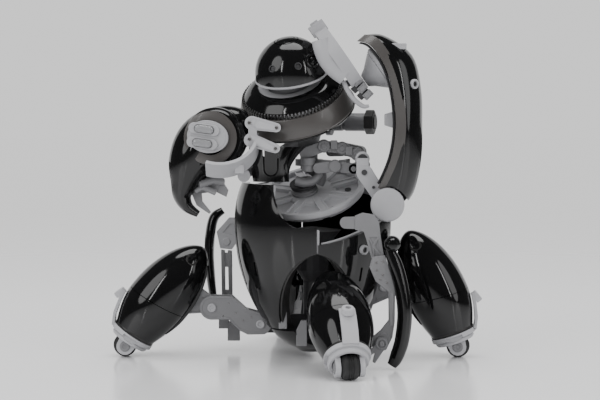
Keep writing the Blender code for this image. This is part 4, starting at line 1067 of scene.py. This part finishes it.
def build_left_arm():
    shell = skin(blade_sections(refine(left_arm_stations()), ARM_WALL, LEFT_ARM_Y, ARM_STEPS))
    panel_place = shift(-48.5, -41.6, 122.3) @ turn("Z", -8) @ turn("Y", 8)
    notch = [(block((-1.2, -6.0, -3.0), (1.2, 6.0, 3.0)), shift(-41.0, -36.0, 137.0) @ turn("Y", 20))]
    piece("left_shell", "gloss_black", "left_arm", HERE, [(shell, HERE)], ["left_arm_shell"], 0.3, notch)
    build_left_rim()
    oval = [(11.0 * math.cos(2 * math.pi * s / 72), 8.6 * math.sin(2 * math.pi * s / 72))
            for s in range(72)]
    inner = [(x * 0.9, z * 0.88) for x, z in oval]
    shapes = [(prism(oval, 2.2), HERE), (prism(inner, 2.8), HERE)]
    for height in LENS_HEIGHTS.values():
        seat = shift(-2.0, -1.6, height)
        shapes.append((link((-5.6, 0), (5.2, 0), 2.9, 2.9, 2.0), seat))
    piece("lens_panel", "light_grey", "left_arm", panel_place, shapes, ["left_arm_panel"], 0.35)
    build_drum(panel_place)
    for name, height in LENS_HEIGHTS.items():
        seat = panel_place @ shift(-2.0, -1.6, height)
        frame_rim = [(link((-3.2, 0), (3.2, 0), 2.25, 2.25, 0.5), shift(0, -1.05, 0))]
        piece("lens_seat_" + name, "satin_black", "left_arm", seat, frame_rim, bevel=0.1)
        piece("lens_" + name, "clear", "left_arm", seat @ shift(0, -1.25, 0), [(lens_dome(), HERE)],
              ["left_lens_" + name], 0)


def build_drum(panel_place):
    """Round end of the arm: a satin ring face round the panel, a chamfer and a gloss side wall."""
    axis = panel_place @ shift(1.0, 1.6, -0.6) @ turn("X", 90)
    face = [(9.0, 0.0), (13.6, 0.0), (14.2, -0.3), (14.2, -1.2), (9.0, -1.2)]
    piece("drum_face", "satin_brown", "left_arm", axis, [(turned(face, 128), HERE)], bevel=0.1)
    wall = [(9.0, -1.3), (14.3, -1.3), (14.6, -1.6), (16.0, -3.6), (16.3, -4.4), (16.3, -13.0),
            (9.0, -13.0)]
    piece("drum_wall", "gloss_black", "left_arm", axis @ shift(1.6, 0, 0), [(turned(wall, 128), HERE)],
          bevel=0.15)


def lens_dome():
    """Pill-shaped clear dome that bulges to -Y."""
    layers = []
    for step in range(9):
        part = step / 9
        shrink = math.cos(part * math.pi / 2)
        outline = stadium((-3.1, 0), (3.1, 0), 2.05 * shrink + 0.02, 2.05 * shrink + 0.02)
        layers.append([Vector((x, -1.35 * math.sin(part * math.pi / 2), z)) for x, z in outline])
    return skin(layers)


def build_left_rim():
    """Lighter bevelled band along the inner edge of the hooked shell."""
    stations = refine(left_arm_stations())
    loops = blade_sections(stations, ARM_WALL, LEFT_ARM_Y, ARM_STEPS)
    for name, pick in (("inner", 0), ("outer", ARM_STEPS)):
        path = [loop[pick] for loop in loops]
        sections = []
        for index, point in enumerate(path):
            across = (path_middle(loops[index]) - point).normalized()
            sections.append([point + Vector((0, 0.3, 0)), point + across * 2.4 + Vector((0, 0.3, 0)),
                             point + across * 2.4 + Vector((0, -0.9, 0)), point + Vector((0, -0.9, 0))])
        piece("left_rim_" + name, "satin_brown", "left_arm", HERE, [(skin(sections), HERE)], bevel=0.15)


def path_middle(loop):
    return (loop[0] + loop[ARM_STEPS]) / 2


def build_left_claw():
    place = shift(-46.5, -22.0, 97.0)
    outline = (arc((0, 0), 4.6, 40, 150) + [(-10.5, 1.0), (-12.0, -5.0), (-9.0, -12.0), (-2.2, -16.6),
               (-1.4, -15.8), (-6.0, -10.0), (-6.4, -5.6), (1.0, -4.6), (7.0, -7.5), (8.0, -4.0)])
    knuckles = [(prism(outline, 4.6), HERE), pin(0, 3.1, 0, 3.0, 6.2),
                pin(-9.2, 2.9, -3.0, 1.6, 5.8)]
    piece("claw", "mid_grey", "left_claw_body", place, knuckles, ["left_claw"], 0.5)
    tubes = [(tube([(-41.0, -24.0, 97.5), (-47.0, -27.0, 98.5), (-54.0, -30.0, 96.5)], 2.1), HERE),
             (tube([(-56.0, -27.5, 93.0), (-52.0, -28.5, 95.0), (-45.0, -27.0, 92.0)], 1.7), HERE),
             (block((-66.5, -27.5, 109.5), (-63.0, -21.5, 119.0)), HERE)]
    piece("left_arm_works", "mid_grey", "left_arm", HERE, tubes, bevel=0.4)


# ---------------------------------------------------------------- right arm

def build_right_links():
    outward = shift(5.0, 1.0, 0) @ turn("Z", -22)
    upper = [(link((12.0, 113.0), (18.0, 113.4), 2.6, 2.8, 4.6), outward @ shift(0, 3.4, 0)),
             (link((16.5, 114.5), (27.0, 113.0), 3.6, 3.2, 4.6), outward @ shift(0, 7.4, 0)),
             (disc(1.7, 6.4), outward @ shift(12.0, 6.6, 113.0) @ turn("X", 90)),
             (disc(2.2, 9.0), outward @ shift(17.0, 10.0, 113.6) @ turn("X", 90)),
             (disc(1.9, 6.2), outward @ shift(26.6, 10.4, 113.0) @ turn("X", 90))]
    piece("link_upper", "mid_grey", "right_boom", HERE, upper, ["right_link_upper"], 0.4)
    lower = [(prism([(5.8, 109.0), (6.0, 104.6), (17.0, 103.4), (24.0, 105.0), (24.0, 109.5),
                     (17.0, 108.2)], 6.0), outward @ shift(0, -2.6, 0)),
             (washer(5.2, 7.6, 3.6), outward @ shift(0, 0, 105.3)),
             (disc(2.2, 7.0), outward @ shift(20.6, 1.0, 106.8) @ turn("X", 90)),
             (disc(1.4, 7.4), outward @ shift(12.0, 1.2, 106.4) @ turn("X", 90))]
    piece("link_lower", "mid_grey", "right_boom", HERE, lower, ["right_link_lower"], 0.4)


def build_link_chain():
    """Chunky knuckled links between the torso and the elbow."""
    upper = [(2.7, 112.4), (13.0, 116.4), (22.9, 115.2), (31.0, 112.0)]
    shapes = []
    for start, end in zip(upper, upper[1:]):
        shapes.append((link(start, end, 3.0, 3.0, 5.0), shift(0, -9.0, 0)))
    for index, (x, z) in enumerate(upper[1:]):
        shapes.append(pin(x, -5.3, z, 3.6, 7.4, 0.7))
        shapes.append(pin(x, -4.7, z, 1.6, 8.6, 0.3))
        if index:
            shapes.append((block((-1.8, -4.4, -4.6), (1.8, 4.4, 0.0)), shift(x - 4.4, -9.0, z + 4.2)))
    piece("link_chain_upper", "mid_grey", "right_boom", HERE, shapes, bevel=0.6)
    lower = [(10.0, 104.6), (19.0, 105.6), (29.0, 104.2), (35.0, 106.4)]
    shapes = []
    for start, end in zip(lower, lower[1:]):
        shapes.append((link(start, end, 2.9, 2.9, 5.4), shift(0, -12.5, 0)))
    shapes.append(pin(19.0, -8.4, 105.6, 3.5, 8.2, 0.6))
    shapes.append(pin(29.0, -8.0, 104.2, 1.5, 9.2, 0.3))
    shapes.append((turned([(0, 0), (3.6, 0), (3.6, 6.4), (3.2, 6.9), (2.4, 6.9), (2.1, 6.4), (0, 6.4)]),
                   shift(30.0, -12.5, 108.4) @ turn("Y", 80)))
    shapes.append((turned([(0, 0), (3.4, 0), (3.4, 3.0), (3.9, 3.4), (3.9, 7.2), (3.4, 7.6), (0, 7.6)]),
                   shift(4.4, -10.5, 102.6)))
    piece("link_chain_lower", "mid_grey", "right_boom", HERE, shapes, bevel=0.5)


def build_bracket():
    elbow = shift(33.5, -10.0, 110.0)
    shapes = [(link((34.4, 102.7), (42.4, 90.5), 4.4, 4.0, 3.2), shift(0, RIGHT_ARM_Y - 6.4, 0)),
              (disc(3.8, 16.5, 0.5), elbow @ turn("X", 90) @ shift(0, 0, -1.0)),
              (block((-3.3, -18.8, -7.0), (3.3, -14.4, 0.5)), elbow),
              (link((42.0, 90.5), (48.0, 86.0), 3.4, 3.4, 3.0), shift(0, RIGHT_ARM_Y - 6.2, 0))]
    piece("bracket", "light_grey", "right_elbow", HERE, shapes, ["right_bracket"], 0.45)
    pins = [pin(34.3, RIGHT_ARM_Y - 7.9, 102.9, 1.5, 0.9, 0.2),
            (disc(2.6, 1.0, 0.2), elbow @ shift(0, -15.4, 0) @ turn("X", 90)),
            pin(39.2, RIGHT_ARM_Y - 7.9, 95.0, 0.8, 0.8, 0.1)]
    piece("bracket_pins", "dark_grey", "right_elbow", HERE, pins, bevel=0.06)


def right_arm_stations():
    return [(31.0, 173.4, 3.5, 3.0, 7.0), (38.0, 171.0, 7.0, 5.0, 12.0), (45.5, 160.0, 14.5, 5.5, 15.5),
            (50.0, 145.0, 15.0, 2.5, 17.0), (51.5, 127.0, 14.2, 0.0, 17.5),
            (49.5, 112.0, 15.6, -2.5, 16.5), (44.8, 99.5, 16.6, -7.0, 15.0),
            (41.0, 93.0, 14.5, -9.0, 13.0)]


def crescent_sections(low, high, out_start, out_end, front):
    """Flat crescent band on the near face of the arm, between two distances out from its spine."""
    sections = []
    rows = refine(right_arm_stations(), 8)
    for index, (x, z, out_x, out_z, half_width) in enumerate(rows):
        along = index / (len(rows) - 1)
        if along < low or along > high:
            continue
        out = Vector((out_x, 0, out_z)).normalized()
        begin = Vector((x, RIGHT_ARM_Y - half_width, z)) + out * out_start
        finish = Vector((x, RIGHT_ARM_Y - half_width, z)) + out * out_end
        sections.append([begin + Vector((0, front, 0)), finish + Vector((0, front * 0.2 + 1.0, 0)),
                         finish + Vector((0, 3.6, 0)), begin + Vector((0, 2.2, 0))])
    return sections


def build_right_arm():
    hub = shift(49.0, RIGHT_ARM_Y, 86.0)
    face = hub @ turn("Z", -10) @ turn("X", 90)
    cap = [(0, 0), (8.2, 0), (9.0, 0.7), (9.0, 2.3), (8.8, 2.7), (8.4, 3.0), (7.8, 3.15), (0, 3.2)]
    piece("hub_cap", "light_grey", "right_arm", face @ shift(0, 0, 13.4), [(turned(cap, 96), HERE)],
          ["right_hub_cap"], 0.1)
    loops = []
    for x, z, out_x, out_z, half_width in refine(right_arm_stations()):
        loops.append(trough_section((x, RIGHT_ARM_Y, z), (0, half_width, 0), (out_x, 0, out_z), 2.6, 48))
    cuts = [(disc(9.6, 40.0), face @ shift(0, 0, -6.0))]
    piece("right_shell", "gloss_black", "right_arm", HERE, [(skin(loops), HERE)], ["right_arm_shell"],
          0.3, cuts)
    band = crescent_sections(0.0, 0.95, -1.0, 4.6, -0.9)
    piece("crescent_face", "satin_brown", "right_arm", HERE, [(skin(band), HERE)], bevel=0.25)
    bevel_band = crescent_sections(0.04, 0.92, -2.6, -1.2, -0.2)
    piece("crescent_bevel", "dark_grey", "right_arm", HERE, [(skin(bevel_band), HERE)], bevel=0.2)
    build_horn()
    build_port("arm_port_ring", "right_arm", shift(60.2, -32.5, 150.0) @ turn("Z", 42))
    details = [(block((50.0, -34.0, 169.0), (59.6, -18.0, 172.2)), shift(-3.0, 4.0, -0.6)),
               (prism([(45.0, 128.0), (50.0, 126.5), (50.0, 135.5), (45.0, 134.0)], 5.0),
                shift(0, RIGHT_ARM_Y - 8.0, 0))]
    piece("right_arm_tabs", "light_grey", "right_arm", HERE, details, bevel=0.4)


def build_horn():
    inward = Vector((-0.82, 0.0, -0.57)).normalized()
    along = Vector((0, 1, 0))
    lean = Matrix((along, inward.cross(along), inward)).transposed().to_4x4()
    horn = shift(44.5, RIGHT_ARM_Y, 158.5) @ lean
    cone = [(0, 0), (12.3, 0), (12.8, 0.4), (12.8, 1.0), (12.2, 1.6), (8.0, 6.2), (5.4, 9.0),
            (4.4, 10.8), (3.4, 12.0), (0, 12.0)]
    grooves = [(turned([(11.0, 2.2), (13.0, 2.2), (13.0, 2.6), (10.8, 2.6)], 96), HERE)]
    piece("horn", "light_grey", "right_arm", horn, [(turned(cone, 96), HERE)], ["right_horn"], 0.15,
          grooves)
    wrist = horn @ shift(0, 0, 12.35)
    shapes = [(disc(3.6, 5.0), HERE),
              (ring_sector(17.6, 19.6, 7.0, 60, 268, 72), shift(0, -17.2, 3.9) @ turn("X", 90)),
              (block((-4.4, -1.4, 1.3), (4.4, 7.2, 4.4)), HERE),
              (block((-6.0, -40.4, -0.2), (6.0, -34.0, 8.6)), HERE),
              (block((-7.0, -36.0, 1.0), (4.2, -31.6, 7.6)), HERE),
              (block((-4.0, -41.6, 2.2), (4.0, -36.0, 6.6)), HERE)]
    piece("cuff_band", "light_grey", "right_wrist", wrist, shapes, ["right_cuff"], 0.45)
    build_cuff_shell()
    plates = [(washer(3.8, 7.2, 1.1), shift(0, 0, 0.9)), (washer(3.8, 6.4, 1.0), shift(0, 0, 2.6)),
              (washer(3.8, 7.2, 1.1), shift(0, 0, 4.2))]
    piece("wrist_plates", "dark_grey", "right_wrist", wrist, plates, bevel=0.2)


def build_cuff_shell():
    """Curved near side of the C-shaped cuff, its thin flange and the stepped blocks between them."""
    stations = refine([(10.4, 173.4, 4.4, 3.0), (12.0, 168.5, 4.9, 4.4), (14.8, 163.2, 5.4, 5.0),
                       (19.0, 158.4, 5.6, 5.0), (24.4, 154.4, 5.6, 4.0)])
    near = blade_sections(stations, 1.6, -35.0, 36)
    piece("cuff_shell", "light_grey", "right_wrist", HERE, [(skin(near), HERE)], bevel=0.3)
    lip = blade_sections(refine([(23.0, 151.6, 1.3, 1.6), (25.7, 145.8, 1.3, 1.8),
                                 (29.3, 141.2, 1.3, 1.8), (33.5, 138.2, 1.2, 1.6),
                                 (36.6, 138.4, 0.8, 1.2)]), 0.8, -33.0, 20)
    piece("cuff_flange", "light_grey", "right_wrist", HERE, [(skin(lip), HERE)], bevel=0.2)
    tilt = turn("Y", 45.0)
    steps = []
    for index in range(4):
        corner = shift(27.6 + 2.9 * index, -28.0, 154.6 - 3.5 * index) @ tilt
        steps.append((block((-2.2, -5.0, -2.6), (1.5, 5.0, 2.6)), corner))
        steps.append((block((-1.5, -5.6, -1.8), (0.9, 5.0, 1.8)), corner))
    piece("cuff_blocks", "mid_grey", "right_wrist", HERE, steps, bevel=0.4)
    inner = []
    for index in range(3):
        corner = shift(26.2 + 3.3 * index, -27.0, 150.6 - 3.5 * index) @ tilt
        inner.append((block((-2.0, -5.0, -1.6), (1.6, 5.0, 1.6)), corner))
    piece("cuff_inner_blocks", "dark_grey", "right_wrist", HERE, inner, bevel=0.4)


# ---------------------------------------------------------------- small arms

def build_small_right():
    outline = [(29.0, 73.4), (29.0, 80.6), (33.0, 82.2), (39.0, 81.2), (41.6, 77.5), (42.4, 70.0),
               (44.0, 61.0), (43.4, 55.0), (38.4, 55.6), (35.0, 68.0), (33.6, 72.4)]
    shapes = [(prism(outline, 5.0), HERE), (link((24.0, 77.0), (31.0, 77.0), 3.0, 3.2, 4.0), HERE)]
    triangles = ([(36.4, 69.5), (40.8, 69.5), (38.4, 66.0)], [(36.2, 68.2), (38.0, 65.4), (38.4, 60.0)],
                 [(41.2, 68.2), (39.2, 65.0), (42.4, 61.0)], [(39.2, 59.0), (38.8, 63.6), (42.2, 59.6)])
    cuts = [(prism(outline_cut, 1.2), shift(0, -2.6, 0)) for outline_cut in triangles]
    piece("small_right_upper", "mid_grey", "right_small_upper_arm", shift(0, -42.4, 0), shapes,
          ["right_small_upper"], 0.3, cuts)
    forearm = [(38.0, 59.4), (44.6, 60.2), (50.0, 42.6), (49.8, 25.0), (48.6, 17.0), (45.4, 10.4),
               (41.0, 9.0), (37.6, 12.4), (38.0, 17.0), (42.4, 20.6), (46.6, 26.0), (46.4, 41.0),
               (39.6, 46.6), (36.4, 54.0)]
    shapes = [(prism(forearm, 3.4), HERE), (link((48.2, 40.0), (48.2, 24.0), 1.1, 1.1, 4.2), HERE),
              (link((42.7, 14.1), (44.0, 16.0), 3.6, 3.4, 4.0), HERE)]
    dots = [pin(x, -1.6, z, 0.45, 0.5, 0.1, 16) for x, z in ((40.0, 56.5), (43.6, 57.0), (40.4, 52.4),
                                                             (43.4, 50.0), (42.2, 47.6), (45.6, 46.0))]
    place = shift(0, -47.0, 0)
    piece("small_right_forearm", "mid_grey", "right_small_lower_arm", place, shapes,
          ["right_small_forearm"], 0.3)
    piece("small_right_rivets", "pin_metal", "right_small_lower_arm", place, dots, bevel=0)
    stations = refine([(46.6, 64.0, 2.4, 2.5), (49.8, 56.0, 3.8, 4.0), (53.2, 44.0, 3.9, 5.0),
                       (54.9, 30.0, 3.9, 5.5), (53.6, 16.0, 3.9, 5.0), (50.6, 6.5, 3.6, 4.4),
                       (48.2, 2.2, 2.6, 3.0)])
    armour = [(skin(blade_sections(stations, 1.6, -49.0, 36)), HERE),
              (turned([(0, -2), (4.0, -2), (4.4, 0), (3.8, 2.6), (2.4, 4.0), (0, 4.4)], 48),
               shift(48.4, -50.0, 66.4) @ turn("X", 90))]
    piece("small_right_armour", "gloss_black", "right_small_lower_arm", HERE, armour,
          ["right_small_armour"], 0.25)
    wrist = shift(42.7, -50.5, 14.1)
    claw = (arc((0, 0), 3.4, -60, 190) + [(-8.2, -6.4), (-7.4, -7.6), (-3.4, -4.6), (-4.6, -9.6),
                                          (-3.4, -10.4), (0.4, -4.6)])
    hand = [(prism(claw, 3.0), HERE), (washer(2.2, 3.0, 0.8), shift(0, -1.3, 0) @ turn("X", 90)),
            pin(0, -1.3, 0, 1.3, 1.0, 0.2)]
    piece("small_right_hand", "mid_grey", "right_small_hand", wrist, hand, ["right_small_claw"], 0.35)


def build_small_left():
    upper = [(-47.0, 67.0), (-40.0, 75.0), (-30.0, 75.0), (-29.6, 66.0), (-35.6, 61.0), (-38.4, 57.0),
             (-45.0, 57.6)]
    shapes = [(prism(upper, 4.4), HERE), pin(-41.5, 2.7, 61.4, 2.2, 5.4)]
    piece("small_left_upper", "light_grey", "left_small_upper_arm", shift(0, 26.0, 0), shapes,
          ["left_small_upper"], 0.4, [(prism([(-43.6, 66.4), (-39.4, 71.6), (-33.0, 71.4),
                                              (-36.6, 65.0)], 0.8), shift(0, -2.2, 0))])
    bars = [(prism([(-44.6, 56.8), (-42.4, 56.4), (-42.0, 18.0), (-44.0, 18.0)], 4.0),
             shift(0, 26.0, 0)), (prism([(-40.8, 56.4), (-38.4, 56.2), (-38.0, 18.0), (-40.0, 18.0)],
                                        4.0), shift(0, 26.0, 0)),
            (prism([(-44.4, 55.0), (-38.4, 55.0), (-38.2, 47.0), (-44.0, 47.0)], 3.0),
             shift(0, 26.0, 0)), (prism([(-43.6, 34.0), (-38.4, 34.0), (-38.2, 28.0), (-43.6, 28.0)],
                                        3.0), shift(0, 26.0, 0)),
            (block((-46.0, 24.2, 12.0), (-40.2, 27.8, 21.0)), HERE),
            (block((-41.0, 24.6, 5.0), (-34.0, 27.4, 16.0)), HERE)]
    piece("small_left_forearm", "mid_grey", "left_small_lower_arm", HERE, bars, ["left_small_forearm"],
          0.35)
    stations = refine([(-43.4, 79.0, 2.0, 3.0), (-48.4, 75.0, 2.8, 5.0), (-50.6, 66.0, 2.8, 6.0),
                       (-51.4, 54.0, 2.8, 6.0), (-50.6, 42.0, 2.6, 5.5), (-49.2, 30.0, 2.2, 4.0)])
    armour = [(skin(blade_sections(stations, 1.6, 27.0, 36)), HERE)]
    piece("small_left_armour", "gloss_black", "left_small_lower_arm", HERE, armour,
          ["left_small_armour"], 0.25)


# ---------------------------------------------------------------- stage

CAMERA_LIFT = 3.5
CAMERA_AIM_Z = 86.4
SENSOR_WIDTH = 36.0
LENS_LENGTH = 109.1


def stage_sheet(name, corners):
    """Flat four-cornered sheet in metres, and its new material's node tree."""
    shape = bmesh.new()
    shape.faces.new([shape.verts.new(corner) for corner in corners])
    mesh = bpy.data.meshes.new(name)
    shape.to_mesh(mesh)
    shape.free()
    sheet = bpy.data.objects.new(name, mesh)
    bpy.context.scene.collection.objects.link(sheet)
    made = bpy.data.materials.new(name)
    made.use_nodes = True
    mesh.materials.append(made)
    return made.node_tree


def build_floor():
    """Glossy white floor that fades out before its edges."""
    tree = stage_sheet("floor", [(-5, -5, 0), (5, -5, 0), (5, 5, 0), (-5, 5, 0)])
    shader = tree.nodes["Principled BSDF"]
    shader.inputs["Base Color"].default_value = (0.86, 0.86, 0.87, 1.0)
    shader.inputs["Roughness"].default_value = 0.16
    shader.inputs["Specular IOR Level"].default_value = 0.6
    reach = tree.nodes.new("ShaderNodeVectorMath")
    reach.operation = "LENGTH"
    tree.links.new(tree.nodes.new("ShaderNodeTexCoord").outputs["Object"], reach.inputs[0])
    fade = wire(tree, "ShaderNodeMapRange", From_Min=0.3, From_Max=1.2, To_Min=1.0, To_Max=0.0)
    feed(reach, "Value", fade, "Value")
    feed(fade, "Result", shader, "Alpha")


def build_backdrop():
    """Bright wall far behind, which the floor and the edges of the gloss shells reflect."""
    tree = stage_sheet("backdrop", [(-5, 4.5, 0), (5, 4.5, 0), (5, 4.5, 4), (-5, 4.5, 4)])
    shader = tree.nodes["Principled BSDF"]
    shader.inputs["Base Color"].default_value = (0.0, 0.0, 0.0, 1.0)
    shader.inputs["Emission Color"].default_value = (1.0, 1.0, 1.0, 1.0)
    shader.inputs["Emission Strength"].default_value = 1.0


def softbox(name, place, aim, width, height, power):
    data = bpy.data.lights.new(name, "AREA")
    data.shape = "ELLIPSE"
    data.size = width
    data.size_y = height
    data.energy = power
    lamp = bpy.data.objects.new(name, data)
    lamp.location = place
    lamp.rotation_euler = (Vector(aim) - Vector(place)).to_track_quat("-Z", "Y").to_euler()
    bpy.context.scene.collection.objects.link(lamp)


def build_lights():
    world = bpy.data.worlds.new("studio")
    world.use_nodes = True
    tree = world.node_tree
    backdrop = tree.nodes["Background"]
    backdrop.inputs["Color"].default_value = (1.0, 1.0, 1.0, 1.0)
    rays = tree.nodes.new("ShaderNodeLightPath")
    strength = tree.nodes.new("ShaderNodeMapRange")
    strength.inputs["To Min"].default_value = 1.0
    strength.inputs["To Max"].default_value = 0.06
    feed(rays, "Is Glossy Ray", strength, "Value")
    feed(strength, "Result", backdrop, "Strength")
    bpy.context.scene.world = world
    middle = (0.0, 0.0, 0.09)
    softbox("key", (-1.0, -0.8, 0.75), middle, 0.8, 1.1, 6.5)
    softbox("key_strip", (-0.55, -0.95, 0.5), middle, 0.05, 0.7, 1.3)
    softbox("fill", (1.1, -0.6, 0.5), middle, 0.5, 1.0, 2.6)
    softbox("right_strip", (0.75, -0.75, 0.45), middle, 0.05, 0.7, 1.0)
    softbox("top", (0.0, 0.0, 1.2), middle, 1.0, 0.6, 7.0)


def build_camera():
    lift = math.radians(CAMERA_LIFT)
    target = Vector((0, 0, CAMERA_AIM_Z)) * MM + FRAME_SHIFT * MM
    data = bpy.data.cameras.new("camera")
    data.sensor_width = SENSOR_WIDTH
    data.lens = LENS_LENGTH
    camera = bpy.data.objects.new("camera", data)
    camera.location = target + Vector((0, -math.cos(lift), math.sin(lift)))
    camera.rotation_euler = (math.pi / 2 - lift, 0, 0)
    bpy.context.scene.collection.objects.link(camera)
    bpy.context.scene.camera = camera


build_camera()
build_lights()
build_floor()
build_backdrop()
build_egg()
build_deck()
build_legs()
build_waist()
build_torso()
build_head()
build_left_cuff()
build_left_arm()
build_left_claw()
build_right_links()
build_link_chain()
build_bracket()
build_right_arm()
build_small_right()
build_small_left()
